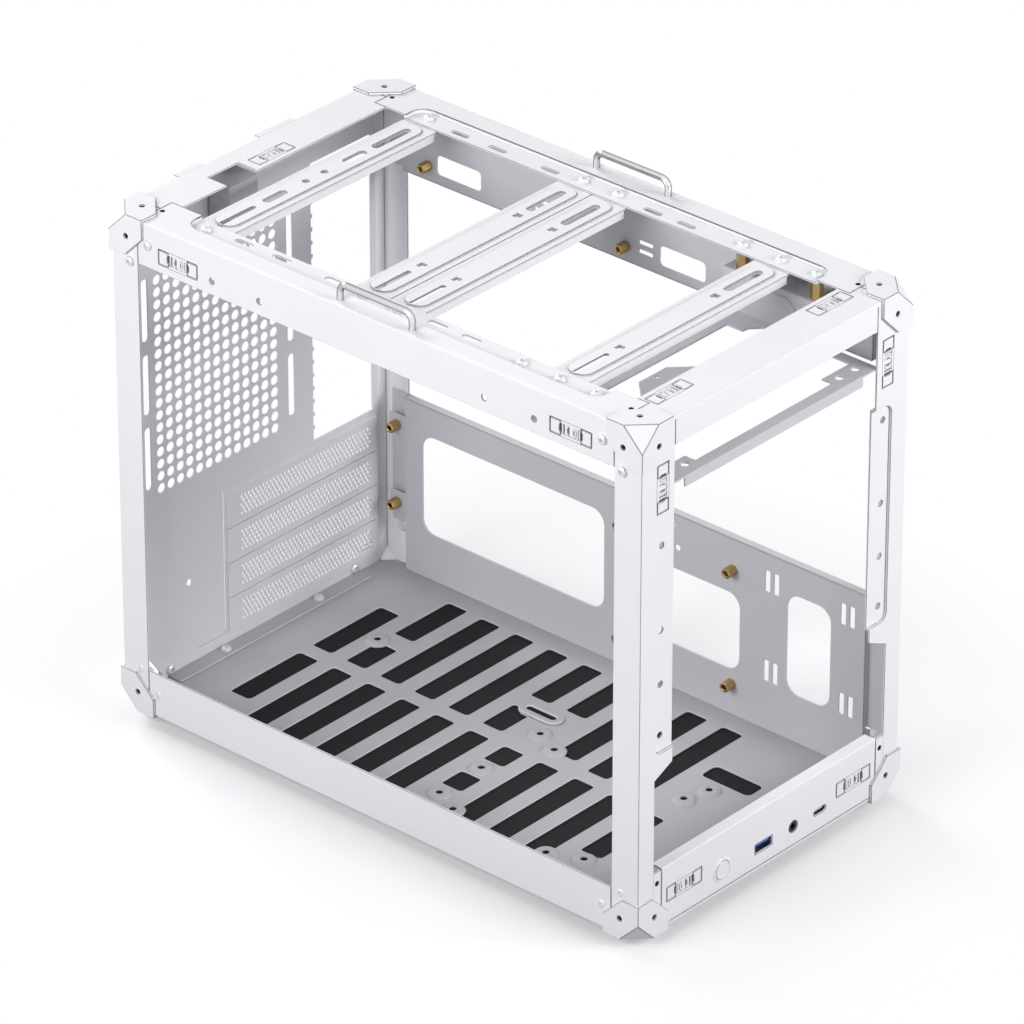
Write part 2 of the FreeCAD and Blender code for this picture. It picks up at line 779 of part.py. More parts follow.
def ledge_holes(side):
    line = at_depth(side, size("screw_line"))
    holes = [screw_hole(line, size(alias)) for alias in ledge_screws()]
    slot_line = at_depth(side, size("screw_line") + 2.4)
    for middle in (101.2, 76.3, 41.4, -25.7, -47.3):
        holes.append(slot(slot_line - 1.4, slot_line + 1.4, middle - 5.5, middle + 5.5))
    return holes


def make_side_rail(name, side):
    body = new_body(name)
    clips = [clip_cut(y, f"{TOP} - 15.3") for y in ("127.4", "-127.4")]
    dimples = [disc(y, size("frame_height") - 16.5, 1.7) for y in (104.5, 73.0, -73.0, -104.5)]
    for end in (-1, 1):
        dimples.append(screw_hole(end * rail_screw_y(), rail_screw_z()))
    wall = (f"-({RAIL_END})", RAIL_END, f"{TOP} - rail_height", f"{TOP} - sheet")
    add_plate(body, name + "_side", "YZ", from_face(side, "0", "sheet"), wall, clips + dimples)
    top = (*from_face(side, "0", "rail_width"), f"-({RAIL_END})", RAIL_END)
    add_plate(body, name + "_top", "XY", (f"{TOP} - sheet", TOP), top)
    wall_size = size("sheet")
    reach = size("frame_depth") / 2 - size("post_side") - size("seam") - size("ledge_inset")
    inner = at_depth(side, size("rail_width"))
    outer = size("rail_width") - size("ledge_width")
    corner = size("ledge_corner")
    tray = half_rounded(inner, at_depth(side, outer - wall_size), -reach - wall_size, reach + wall_size,
                        corner + wall_size)
    add_plate(body, name + "_ledge", "XY", (LEDGE_UNDER, TOP), tray)
    past = at_depth(side, size("rail_width") + 2)
    hollow = half_rounded(past, at_depth(side, outer), -reach, reach, corner)
    cut_plate(body, name + "_ledge_hollow", "XY", (LEDGE_TOP, f"{TOP} + sheet"), hollow)
    cut_plate(body, name + "_ledge_holes", "XY", (LEDGE_UNDER, LEDGE_TOP), None, ledge_holes(side))
    return lift(body)


def end_rail_top(end):
    """The T-shaped top of an end rail: wide between the posts, narrow between the side rails."""
    outer = at_depth(end, 0)
    step = at_depth(end, size("post_side"))
    inner = at_depth(end, size("end_rail_width"))
    wing = size("frame_width") / 2 - size("post_side") + size("sheet") - 2 * size("seam")
    stem = size("frame_width") / 2 - size("rail_width") - size("seam")
    right = [(wing, outer), (wing, step), (stem, step), (stem, inner)]
    return polygon(right + [(-x, y) for x, y in reversed(right)])


def make_end_rail(name, end):
    body = new_body(name)
    low = f"{LEFT} + post_front + seam" if end == FRONT else f"{LEFT} + post_rear_left + seam"
    high = f"{RIGHT} - post_front - seam" if end == FRONT else f"{RIGHT} - post_rear_right - seam"
    wall = (low, high, f"{TOP} - end_rail_height", f"{TOP} - sheet")
    add_plate(body, name + "_face", "XZ", from_face(end, "0", "sheet"), wall)
    if end == FRONT:
        clips = [clip_cut(x, f"{FRONT} + 17.4") for x in ("59", "-59")]
    else:
        clips = [clip_cut("-2.4", f"{REAR} - 17.3")]
    add_plate(body, name + "_top", "XY", (f"{TOP} - sheet", TOP), end_rail_top(end), clips)
    if end == REAR:
        hooks = [("-51.5", "-33.1"), ("6.9", "33.3")]
        for index, (low, high) in enumerate(hooks):
            hook = (low, high, REAR, f"{REAR} + hook_proud")
            add_plate(body, f"{name}_hook_{index}", "XY", (f"{TOP} - sheet", TOP), hook)
        notch = ("inlet_left - 2.5", "inlet_right + 2.5", f"{TOP} - end_rail_height - 1", "inlet_high + 3")
        cut_plate(body, name + "_inlet_notch", "XZ", from_face(end, "-sheet", "2 * sheet"), notch)
        bay = ("-42.4", "-20.5", f"{REAR} - end_rail_width - 1", f"{REAR} - 11.5")
        cut_plate(body, name + "_inlet_bay", "XY", (f"{TOP} - 2 * sheet", f"{TOP} + sheet"), bay)
    return lift(body)


# Brackets across the top

def make_fan_bracket(name, middle, inner_slots):
    body = new_body(name)
    half = "frame_width / 2 - rail_width + bracket_overlap"
    top = (f"-({half})", half, f"{middle} - bracket_width / 2", f"{middle} + bracket_width / 2")
    y = size(middle)
    line = size("frame_width") / 2 - size("screw_line")
    holes = [screw_hole(side * line, y) for side in (-1, 1)]
    add_plate(body, name + "_strip", "XY", (f"{LEDGE_UNDER} - sheet", LEDGE_UNDER), top, holes)
    folds = "frame_width / 2 - rail_width - 1.5"
    for edge, span in (
        ("rear", (f"{middle} + bracket_width / 2 - sheet", f"{middle} + bracket_width / 2")),
        ("front", (f"{middle} - bracket_width / 2", f"{middle} - bracket_width / 2 + sheet")),
    ):
        fold = (f"-({folds})", folds, f"{LEDGE_UNDER} - 5", f"{LEDGE_UNDER} - sheet")
        add_plate(body, f"{name}_fold_{edge}", "XZ", span, fold)
    add_plate(body, name + "_bead", "XY", (LEDGE_UNDER, f"{LEDGE_UNDER} + bead_height"),
              rounded(-71.5, 71.5, y - 7.2, y + 7.2, 6.0))
    cut_plate(body, name + "_bead_hollow", "XY",
              (f"{LEDGE_UNDER} - sheet", f"{LEDGE_UNDER} - sheet + bead_height"),
              rounded(-70.5, 70.5, y - 6.2, y + 6.2, 5.0))
    shift = size("slot_shift")
    cuts = []
    for side in (-1, 1):
        low, high = sorted((shift + side * 42.7, shift + side * 69.0))
        cuts.append(slot(low, high, y - 2.0, y + 2.0))
        if inner_slots:
            low, high = sorted((shift + side * 21.4, shift + side * 36.5))
            cuts.append(slot(low, high, y - 2.0, y + 2.0))
            cuts.append(disc(shift + side * 6.75, y, 1.6))
        else:
            middle_x = shift + side * 34.9
            cuts.append(bar(middle_x - 1.7, middle_x + 1.7, y - 1.7, y + 1.7))
    through = (f"{LEDGE_UNDER} - 2 * sheet", f"{LEDGE_UNDER} + 2 * bead_height")
    cut_plate(body, name + "_slots", "XY", through, None, cuts)
    return lift(body)


def psu_openings():
    """The opening over the power supply's end face, split by a strap with a chamfered tab."""
    rear = size("psu_open_rear")
    front = size("psu_open_front")
    wide = 71.5
    strap_rear = rear - 38.0
    strap_front = strap_rear - 15.0
    tab = 20.0
    right = [(63, rear), (63, rear - 10), (67, rear - 10.5), (wide, rear - 15), (wide, strap_rear)]
    right += [(tab, strap_rear), (tab, rear - 16.3), (tab - 10, rear - 6.3)]
    rear_hole = polygon(right + [(-x, y) for x, y in reversed(right)])
    right = [(wide, strap_front), (wide, front), (50.5, front), (50.5, front - 6.5)]
    front_hole = polygon(right + [(-x, y) for x, y in reversed(right)])
    return [rear_hole, front_hole, disc(0, rear - 9.7, 1.2)]


def make_psu_bracket():
    body = new_body("psu_bracket")
    plate = ("-psu_half", "psu_half", f"{FRONT} + sheet + 0.1", "psu_rear")
    holes = psu_openings()
    for side in (-1, 1):
        for wide in ("psu_hole_wide", "psu_hole_narrow"):
            holes.append(circle(side * size(wide), size("psu_open_front") - 5.7, 2.0))
    add_plate(body, "psu_plate", "XY", ("psu_plate_low", "psu_plate_low + sheet"), plate, holes)
    lip = ("-66", "66", "psu_plate_low - 5", "psu_plate_low")
    add_plate(body, "psu_lip", "XZ", (f"{FRONT} + sheet + 0.1", f"{FRONT} + 2 * sheet + 0.1"), lip)
    flange_level = f"{LEDGE_UNDER} - psu_drop"
    for side, name in ((LEFT, "left"), (RIGHT, "right")):
        if side == LEFT:
            wall = ("-psu_half", "-psu_half + sheet")
            wing = ("-psu_half - 14", "-psu_half + sheet")
        else:
            wall = ("psu_half - sheet", "psu_half")
            wing = ("psu_half - sheet", "psu_half + 14")
        upright = ("psu_screw_front - 10", "psu_rear", "psu_plate_low", flange_level)
        add_plate(body, f"psu_wall_{name}", "YZ", wall, upright)
        line = at_depth(side, size("screw_line"))
        bores = [screw_hole(line, size(alias)) for alias in ("psu_screw_rear", "psu_screw_front")]
        flange = (*wing, "psu_screw_front - 10", "psu_rear")
        span = (f"{flange_level} - sheet", flange_level)
        add_plate(body, f"psu_flange_{name}", "XY", span, flange, bores)
    return lift(body)


def make_psu_standoffs():
    """Brass hexagonal pillars between the rails' ledges and the power supply bracket."""
    pillars = []
    for side in ("-", ""):
        for alias in ("psu_screw_rear", "psu_screw_front"):
            name = f"psu_standoff_{len(pillars) + 1}"
            x = f"{side}(frame_width / 2 - screw_line)"
            level = f"{LEDGE_UNDER} - psu_drop"
            pillar = hex_rod(name + "_hex", "psu_standoff_radius", "psu_drop", x, alias, level)
            bore = hex_rod(name + "_bore", "screw_shank + screw_clearance", "psu_drop", x, alias, level)
            pillars.append(cut(name, pillar, [bore]))
    return lift(group("psu_standoffs", pillars))


def make_handle(name, side):
    """A bent wire bow standing on the rail: its section follows two legs, two stepped bends and the grip."""
    x = at_depth(side, size("handle_inset"))
    foot_z = size("frame_height")
    wire = size("handle_wire")
    turn = size("handle_bend")
    front = size("handle_front")
    rear = size("handle_rear")
    bend_z = foot_z + size("handle_rise") - wire - turn
    steps = [math.radians(angle) for angle in range(0, 91, 30)]
    line = [(rear, foot_z)]
    line += [(rear - turn + turn * math.cos(angle), bend_z + turn * math.sin(angle)) for angle in steps]
    line += [(front + turn - turn * math.sin(angle), bend_z + turn * math.cos(angle)) for angle in steps]
    line += [(front, foot_z)]
    path = Part.makePolygon([Vector(x, y, z) for y, z in line])
    turns = [2 * math.pi * side_number / SMALL_SIDES for side_number in range(SMALL_SIDES + 1)]
    ring = [Vector(x + wire * math.cos(angle), rear + wire * math.sin(angle), foot_z) for angle in turns]
    bow = doc.addObject("Part::Feature", name)
    bow.Shape = path.makePipeShell([Part.makePolygon(ring)], True, False, MITRED)
    return lift(bow)


# Screws

def make_screw_master(name, length):
    """A flat-headed screw standing on its seat, with the shank below."""
    head = rod(name + "_head", "screw_head", "screw_head_height", sides=SMALL_SIDES)
    shank = hex_rod(name + "_shank", "screw_shank", length, z=f"-({length})")
    return join(name, [head, shank])


def make_bracket_screws(master):
    screws = []
    for side in ("-", ""):
        for alias in ledge_screws():
            x = f"{side}(frame_width / 2 - screw_line)"
            screws.append(copy_at(f"bracket_screw_{len(screws) + 1}", master, x, alias, LEDGE_TOP))
    return lift(group("bracket_screws", screws))


def make_frame_screws(master):
    """Screws through the ends of the side rails and the tops of the posts."""
    screws = []
    places = (
        (f"{RAIL_END} - rail_screw_inset", f"{TOP} - rail_screw_drop"),
        ("frame_depth / 2 - post_screw_inset", f"{TOP} - post_screw_drop"),
    )
    for side, way in ((LEFT, "-X"), (RIGHT, "+X")):
        for end in ("-", ""):
            for y, z in places:
                name = f"frame_screw_{len(screws) + 1}"
                screws.append(copy_at(name, master, side, f"{end}({y})", z, AXIS_TURNS[way]))
    return lift(group("frame_screws", screws))


def floor_screw_places():
    """Where the rear panel's flange is screwed to the floor."""
    middle = size("frame_depth") / 2 - 6.5
    return ((-30.9, middle), (39.0, middle))


def make_panel_screws(master):
    """Short screws that hold the rear panel to the floor and to the pan's rear flange."""
    screws = []
    for x, _ in floor_screw_places():
        name = f"floor_screw_{len(screws) + 1}"
        level = f"{FLOOR_TOP} + sheet"
        screws.append(copy_at(name, master, str(x), f"{REAR} - 6.5", level))
    for x in PANEL_SCREWS:
        name = f"floor_screw_{len(screws) + 1}"
        level = f"{FLOOR_TOP} + sheet + screw_head + screw_clearance"
        screws.append(copy_at(name, master, str(x), PANEL_FACE, level, AXIS_TURNS["-Y"]))
    return lift(group("panel_screws", screws))


# Rear panel and slot covers

GRID_COLUMNS = 13
GRID_ROWS = 18
COVERS = 4


def panel_outline():
    base = size("floor_rise") + size("sheet")
    top = size("frame_height") - size("sheet") - size("seam")
    left = size("fan_slot_left") - size("fan_slot_width") / 2 - 3.0
    return polygon([
        (-73.7, base), (90.0, base), (90.0, top), (left, top), (left, 110.0),
        (-89.0, 104.0), (-89.0, 28.0), (-81.6, 17.0), (-73.7, 5.7),
    ])


def fan_grid_holes():
    """The square grid of the rear fan opening, with each hole drawn by its four sides."""
    half = size("grid_hole")
    holes = []
    for column in range(GRID_COLUMNS):
        for row in range(GRID_ROWS):
            x = size("grid_left") + column * size("grid_pitch")
            z = size("grid_low") + row * size("grid_pitch")
            holes.append(bar(x - half, x + half, z - half, z + half))
    return holes


def fan_slot_holes():
    """Two upright rows of slots that let a fan sit at several heights."""
    width = size("fan_slot_width")
    left = size("fan_slot_left")
    right = left + size("fan_slot_spacing")
    holes = []
    for low, high in ((115.5, 150.9), (158.4, 192.0), (199.7, 234.7)):
        holes.append(slot(left - width / 2, left + width / 2, low, high))
    for low, high in ((115.5, 150.9), (158.4, 234.7)):
        holes.append(slot(right - width / 2, right + width / 2, low, high))
    return holes


def slot_openings():
    """The four bound openings behind the slot covers."""
    openings = []
    for index in range(COVERS):
        level = f"slot_low + {index} * slot_pitch"
        openings.append(("slot_left", "slot_right", f"{level} - slot_tall / 2", f"{level} + slot_tall / 2"))
    return openings


def relief_slit():
    """The thin L-shaped slit that frees the part of the panel carrying the covers."""
    left = size("cover_left") - 1.8
    low = size("slot_low") - 9.9
    high = low + 84.5
    return polygon([
        (left, high), (left + 0.8, high), (left + 0.8, low), (left - 20.0, low),
        (left - 20.0, low + 0.8), (left, low + 0.8),
    ])


def make_rear_panel():
    body = new_body("rear_panel")
    flange = ("-69", "75", f"{REAR} - 11.2", PANEL_BACK)
    screws = [screw_hole(x, y) for x, y in floor_screw_places()]
    add_plate(body, "panel_flange", "XY", (FLOOR_TOP, f"{FLOOR_TOP} + sheet"), flange, screws)
    aperture = ("io_left", "io_left + io_wide", "io_low", "io_low + io_tall")
    inlet = ("inlet_left - seam", "inlet_right + seam", "inlet_low - seam", "inlet_high + seam")
    holes = [aperture, inlet] + slot_openings() + fan_slot_holes()
    holes += [screw_hole(x, panel_screw_z()) for x in PANEL_SCREWS]
    holes += [relief_slit(), disc(-52.2, 50.4, 1.8)] + fan_grid_holes()
    add_plate(body, "panel_wall", "XZ", (PANEL_FACE, PANEL_BACK), panel_outline(), holes)
    return lift(body)


def make_slot_cover(index):
    """One cover plate, with its upper and lower edges beside its neighbours."""
    name = f"slot_cover_{index + 1}"
    body = new_body(name)
    level = f"slot_low + {index} * slot_pitch"
    half = "(slot_pitch / 2 - seam)"
    plate = ("cover_left", "cover_right", f"{level} - {half}", f"{level} + {half}")
    middle = size("slot_low") + index * size("slot_pitch")
    holes = []
    pitch = size("cover_hole_pitch")
    count = int((size("slot_right") - size("slot_left") - 1.0) / pitch)
    start = (size("slot_left") + size("slot_right")) / 2 - (count - 1) * pitch / 2
    for step in range(count):
        x = start + step * pitch
        holes.append(hexagon(x, middle, size("cover_hole")))
    add_plate(body, name + "_plate", "XZ", (f"{PANEL_FACE} - sheet", PANEL_FACE), plate, holes)
    return lift(body)


# Board trays on the right side

TRAY_FACE = f"{RIGHT} - sheet - tray_gap"


def tray_stud_hole(y, z):
    return disc(y, z, size("stud_radius") + size("screw_clearance"))


def board_rows():
    """Heights of the board's three rows of fasteners, lowest first."""
    low = size("board_row_low")
    return (low, low + 66.04, low + 66.04 + 157.48)


def board_columns():
    """Places of the board's fasteners from the rear forward, the second one 22.86 mm inside."""
    rear = size("board_column")
    return (rear, rear - 22.86, rear - 154.94, rear - 227.33)


def board_places():
    """Return each standoff as its place along the depth and its height."""
    low, middle, high = board_rows()
    rear, second, third, front = board_columns()
    places = [(rear, middle), (rear, middle - 45.72), (second, high)]
    for column in (third, front):
        places += [(column, low), (column, middle), (column, high)]
    return places


def lower_tray_outline():
    """The lower tray with its two ears behind the rear standoffs."""
    end = size("tray_end")
    ear = size("board_column") + 5.5
    low = size("floor_rise") + size("sheet")
    high = size("tray_height")
    _, middle, _ = board_rows()
    ear_low = middle - 45.72
    corners = [(-end, low), (end, low)]
    for level in (ear_low, middle):
        corners += [(end, level - 6), (ear, level - 6), (ear, level + 6), (end, level + 6)]
    return polygon(corners + [(end, high), (-end, high)])


def lower_tray_holes():
    holes = [
        rounded(17.2, 141.2, 29.6, 87.0, 8.0, 3),
        rounded(-73.0, -2.0, 28.5, 72.5, 8.0, 3),
        rounded(-131.8, -103.9, 29.7, 86.8, 8.0, 3),
    ]
    for middle in (-90.8, -96.5, -139.6, -145.3):
        for low, high in ((82.0, 94.0), (30.4, 42.4)):
            holes.append(bar(middle - 1.5, middle + 1.5, low, high))
    holes.append(disc(-31.8, 85.0, 1.7))
    for y, z in board_places():
        if z < size("tray_height"):
            holes.append(tray_stud_hole(y, z))
    return holes


def make_tray_lower():
    body = new_body("tray_lower")
    span = (TRAY_FACE, f"{TRAY_FACE} + sheet")
    add_plate(body, "lower_wall", "YZ", span, lower_tray_outline(), lower_tray_holes())
    fold = (TRAY_FACE, f"{RIGHT} - sheet - seam", "-tray_end", "tray_end")
    add_plate(body, "lower_fold", "XY", ("tray_height - sheet", "tray_height"), fold)
    add_tray_ends(body, "lower", "wall_height + 2", "tray_height")
    return lift(body)


def add_tray_ends(body, name, low, high):
    """Folds at both ends of a tray, each with a tab that lies on the post's inner face."""
    for end in (FRONT, REAR):
        sign = "-" if end == FRONT else ""
        edges = ("tray_end - sheet", "tray_end") if end == REAR else ("-tray_end", "-tray_end + sheet")
        fold = (TRAY_FACE, f"{RIGHT} - sheet", low, high)
        add_plate(body, f"{name}_end_{sign_name(end)}", "XZ", edges, fold)
        tab_ends = (f"{sign}(tray_end - sheet)", f"{sign}(tray_end + 12)")
        if end == FRONT:
            tab_ends = (tab_ends[1], tab_ends[0])
        tab = (*tab_ends, low, high)
        span = from_face(RIGHT, "sheet", "2 * sheet")
        add_plate(body, f"{name}_tab_{sign_name(end)}", "YZ", span, tab)


def sign_name(end):
    return "front" if end == FRONT else "rear"


def make_tray_upper():
    body = new_body("tray_upper")
    low = size("tray_upper_low")
    end = size("tray_end")
    high = size("frame_height") - size("sheet")
    holes = [rounded(100.6, 130.2, 240.6, 251.7, 2.5), rounded(-47.6, -18.2, 240.6, 251.7, 2.5)]
    for middle in (60.0, -9.0):
        for level in (243.9, 248.9):
            holes.append(bar(middle - 4.4, middle + 4.4, level - 1.1, level + 1.1))
    for y, z in board_places():
        if z > low:
            holes.append(tray_stud_hole(y, z))
    wall = polygon([(-end, low), (end, low), (end, high), (-end, high)])
    add_plate(body, "upper_wall", "YZ", (TRAY_FACE, f"{TRAY_FACE} + sheet"), wall, holes)
    fold = (TRAY_FACE, f"{RIGHT} - sheet - seam", "-tray_end", "tray_end")
    add_plate(body, "upper_fold", "XY", ("tray_upper_low", "tray_upper_low + sheet"), fold)
    add_tray_ends(body, "upper", "tray_upper_low", f"{TOP} - post_screw_drop - screw_shank - seam")
    return lift(body)


def make_board_standoffs():
    """Brass standoffs: a hexagonal pillar with a threaded bore and a stud through the tray."""
    pillar = hex_rod("standoff_hex", "standoff_radius", "standoff_length")
    bore = drill("standoff_bore_tool", "standoff_bore", "standoff_length", z="1.5")
    stud = hex_rod("standoff_stud", "stud_radius", "stud_length", z="-stud_length")
    master = join("standoff_master", [cut("standoff_pillar", pillar, [bore]), stud])
    standoffs = []
    for y, z in board_places():
        name = f"board_standoff_{len(standoffs) + 1}"
        standoffs.append(copy_at(name, master, TRAY_FACE, f"{y:.2f}", f"{z:.2f}", AXIS_TURNS["-X"]))
    return lift(group("board_standoffs", standoffs))


# Ports and button at the front

BOARD_TOP = "board_level + board_thickness"
SWITCH_FACE = f"{FRONT} + button_stem_end + button_travel + 0.1"


def make_power_button():
    """A round cap in the flange, held by a collar behind it, with a stem to the switch."""
    face_y = f"{FRONT} - button_proud"
    cap = rod("button_cap", "button_radius", "button_proud + 1.8", "button_x", face_y, "port_z", "+Y")
    collar_y = f"{FRONT} + sheet + 0.1"
    collar = rod("button_collar", "button_radius + 0.9", "1.2", "button_x", collar_y, "port_z", "+Y")
    stem = rod("button_stem", "1.8", "button_stem_end - sheet - 0.1", "button_x", collar_y, "port_z", "+Y")
    return lift(join("power_button", [cap, collar, stem]))


def make_button_ring():
    y = f"{FRONT} - 0.4"
    outer = rod("ring_outer", "button_radius + 1.9", "0.4", "button_x", y, "port_z", "+Y")
    inner = rod("ring_inner", "button_radius + button_clearance", "0.4", "button_x", y, "port_z", "+Y")
    return lift(cut("button_ring", outer, [inner]))


def make_power_switch():
    x = ("button_x - 3", "button_x + 3")
    y = (SWITCH_FACE, f"{SWITCH_FACE} + 3.5")
    body = block("power_switch_body", x, y, (BOARD_TOP, "port_z + 3"))
    return lift(group("power_switch", [body]))


def make_io_board():
    """The small circuit board behind the flange."""
    y = (f"{FRONT} + 4", f"{FRONT} + 21")
    board = block("io_board_plate", ("-46", "50"), y, ("board_level", BOARD_TOP))
    return lift(group("io_board", [board]))


def make_io_bracket():
    """The folded bracket that lifts the circuit board off the floor."""
    body = new_body("io_bracket")
    y = (f"{FRONT} + 5", f"{FRONT} + 24")
    add_plate(body, "bracket_shelf", "XY", ("board_level - sheet", "board_level"), ("-48", "52", *y))
    for name, low, high in (("left", "-48", "-47"), ("right", "51", "52")):
        leg = (*y, FLOOR_TOP, "board_level")
        add_plate(body, f"bracket_leg_{name}", "YZ", (low, high), leg)
    return lift(body)


def make_usb_a():
    """The shell of the wide port, open at the front, and its tongue."""
    x = ("usb_a_x - 6.5", "usb_a_x + 6.5")
    shell = block("usb_a_outer", x, (f"{FRONT} + 0.2", f"{FRONT} + 14"), (BOARD_TOP, "port_z + 2.8"))
    inner_x = ("usb_a_x - 6.1", "usb_a_x + 6.1")
    inner_z = ("port_z - 2.4", "port_z + 2.4")
    hollow = block("usb_a_inner", inner_x, (FRONT, f"{FRONT} + 12"), inner_z)
    port = cut("usb_a_shell", shell, [hollow])
    tongue_x = ("usb_a_x - 5.4", "usb_a_x + 5.4")
    tongue_y = (f"{FRONT} + 1.2", f"{FRONT} + 12")
    tongue = block("usb_a_tongue_plate", tongue_x, tongue_y, ("port_z + 0.1", "port_z + 1.9"))
    return {"usb_a_shell": lift(port), "usb_a_tongue": lift(group("usb_a_tongue", [tongue]))}


def make_usb_c():
    """The small oval port on its riser."""
    body = new_body("usb_c_port")
    x = size("usb_c_x")
    z = size("port_z")
    outer = slot(x - 4.6, x + 4.6, z - 1.7, z + 1.7)
    inner = slot(x - 4.25, x + 4.25, z - 1.35, z + 1.35)
    add_plate(body, "usb_c_back", "XZ", (f"{FRONT} + 7", f"{FRONT} + 9"), [edge.copy() for edge in outer])
    add_plate(body, "usb_c_shell", "XZ", (f"{FRONT} + 0.2", f"{FRONT} + 7"), outer, [inner])
    tongue = ("usb_c_x - 3.3", "usb_c_x + 3.3", "port_z - 0.35", "port_z + 0.35")
    add_plate(body, "usb_c_tongue", "XZ", (f"{FRONT} + 1.2", f"{FRONT} + 7"), tongue)
    riser = ("usb_c_x - 4", "usb_c_x + 4", BOARD_TOP, "port_z - 1.5")
    add_plate(body, "usb_c_riser", "XZ", (f"{FRONT} + 3.2", f"{FRONT} + 9"), riser)
    return lift(body)


def make_audio_jack():
    nose = rod("jack_nose", "3.1", "3.4", "jack_x", f"{FRONT} + 0.2", "port_z", "+Y")
    x = ("jack_x - 3.2", "jack_x + 3.2")
    shell = block("jack_body", x, (f"{FRONT} + 3.2", f"{FRONT} + 14"), (BOARD_TOP, "port_z + 3.1"))
    bore = rod("jack_bore", "jack_radius", "12.5", "jack_x", FRONT, "port_z", "+Y")
    return lift(cut("audio_jack", join("jack_whole", [nose, shell]), [bore]))


# Power inlet at the rear

def make_ac_inlet():
    """The upright three-pin inlet: a box through the panel, a flange outside and three flat pins."""
    x = ("inlet_left", "inlet_right")
    z = ("inlet_low", "inlet_high")
    box = block("inlet_box", x, ("inlet_inner_y", REAR), z)
    edge_x = ("inlet_left - 2", "inlet_right + 2")
    edge_z = ("inlet_low - 2", "inlet_high + 2")
    rim = block("inlet_rim", edge_x, (PANEL_BACK, f"{PANEL_BACK} + 2"), edge_z)
    inner_x = ("inlet_left + 2.4", "inlet_right - 2.4")
    inner_z = ("inlet_low + 2.4", "inlet_high - 2.4")
    hollow = block("inlet_hollow", inner_x, ("inlet_inner_y + 3", f"{REAR} + 2"), inner_z)
    shell = cut("ac_inlet", join("inlet_whole", [box, rim]), [hollow])
    pins = []
    middle_z = "(inlet_low + inlet_high) / 2"
    middle_x = "(inlet_left + inlet_right) / 2"
    for step, (shift_x, shift_z) in enumerate(((-2.0, -7.0), (-2.0, 7.0), (2.0, 0.0)), start=1):
        pin_x = (f"{middle_x} + {shift_x} - 2", f"{middle_x} + {shift_x} + 2")
        pin_z = (f"{middle_z} + {shift_z} - 1", f"{middle_z} + {shift_z} + 1")
        pins.append(block(f"inlet_pin_{step}", pin_x, ("inlet_inner_y + 3", f"{REAR} - 2"), pin_z))
    return {"ac_inlet": lift(shell), "inlet_pins": lift(group("inlet_pins", pins))}


# The whole case

def make_all():
    """Make every sub-part and return them by name."""
    parts = {
        "base_pan": make_base_pan(),
        "dust_filter": make_dust_filter(),
        "feet": make_feet(),
    }
    for end, end_name in ((FRONT, "front"), (REAR, "rear")):
        for side, side_name in ((LEFT, "left"), (RIGHT, "right")):
            name = f"post_{end_name}_{side_name}"
            parts[name] = make_post(name, side, end)
    parts.update(make_caps())
    parts["rail_left"] = make_side_rail("rail_left", LEFT)
    parts["rail_right"] = make_side_rail("rail_right", RIGHT)
    parts["rail_front"] = make_end_rail("rail_front", FRONT)
    parts["rail_rear"] = make_end_rail("rail_rear", REAR)
    for alias in bracket_places():
        name = "fan_" + alias[:-2]
        parts[name] = make_fan_bracket(name, alias, alias == "bracket_rear_y")
    parts["psu_bracket"] = make_psu_bracket()
    parts["psu_standoffs"] = make_psu_standoffs()
    parts["handle_left"] = make_handle("handle_left", LEFT)
    parts["handle_right"] = make_handle("handle_right", RIGHT)
    screw = make_screw_master("screw_master", "screw_length")
    short = make_screw_master("short_screw_master", "screw_short")
    parts["bracket_screws"] = make_bracket_screws(screw)
    parts["frame_screws"] = make_frame_screws(screw)
    parts["panel_screws"] = make_panel_screws(short)
    parts["panel_clips"] = lift(make_clips())
    parts["rear_panel"] = make_rear_panel()
    for index in range(COVERS):
        parts[f"slot_cover_{index + 1}"] = make_slot_cover(index)
    parts["tray_lower"] = make_tray_lower()
    parts["tray_upper"] = make_tray_upper()
    parts["board_standoffs"] = make_board_standoffs()
    parts["power_button"] = make_power_button()
    parts["button_ring"] = make_button_ring()
    parts["power_switch"] = make_power_switch()
    parts["io_board"] = make_io_board()
    parts["io_bracket"] = make_io_bracket()
    parts.update(make_usb_a())
    parts["usb_c_port"] = make_usb_c()
    parts["audio_jack"] = make_audio_jack()
    parts.update(make_ac_inlet())
    return parts


def check(parts):
    """Stop if any object failed or any sub-part has no sound shape."""
    for thing in doc.Objects:
        if "Invalid" in thing.State or "Error" in thing.State:
            raise RuntimeError(f"{thing.Name} failed: {thing.State}")
    for name, part in parts.items():
        shape = part.Shape
        if shape.isNull() or not shape.isValid() or not shape.Solids:
            raise RuntimeError(f"{name} has no sound solid")


def write(parts):
    os.makedirs("parts", exist_ok=True)
    for name, part in parts.items():
        part.Label = name
        part.Shape.exportStep(f"parts/{name}.step")


PARTS = make_all()
doc.recompute()
check(PARTS)
write(PARTS)
print(f"{len(PARTS)} sub-parts written")
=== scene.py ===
import math

import bmesh
import bpy
from mathutils import Matrix, Vector


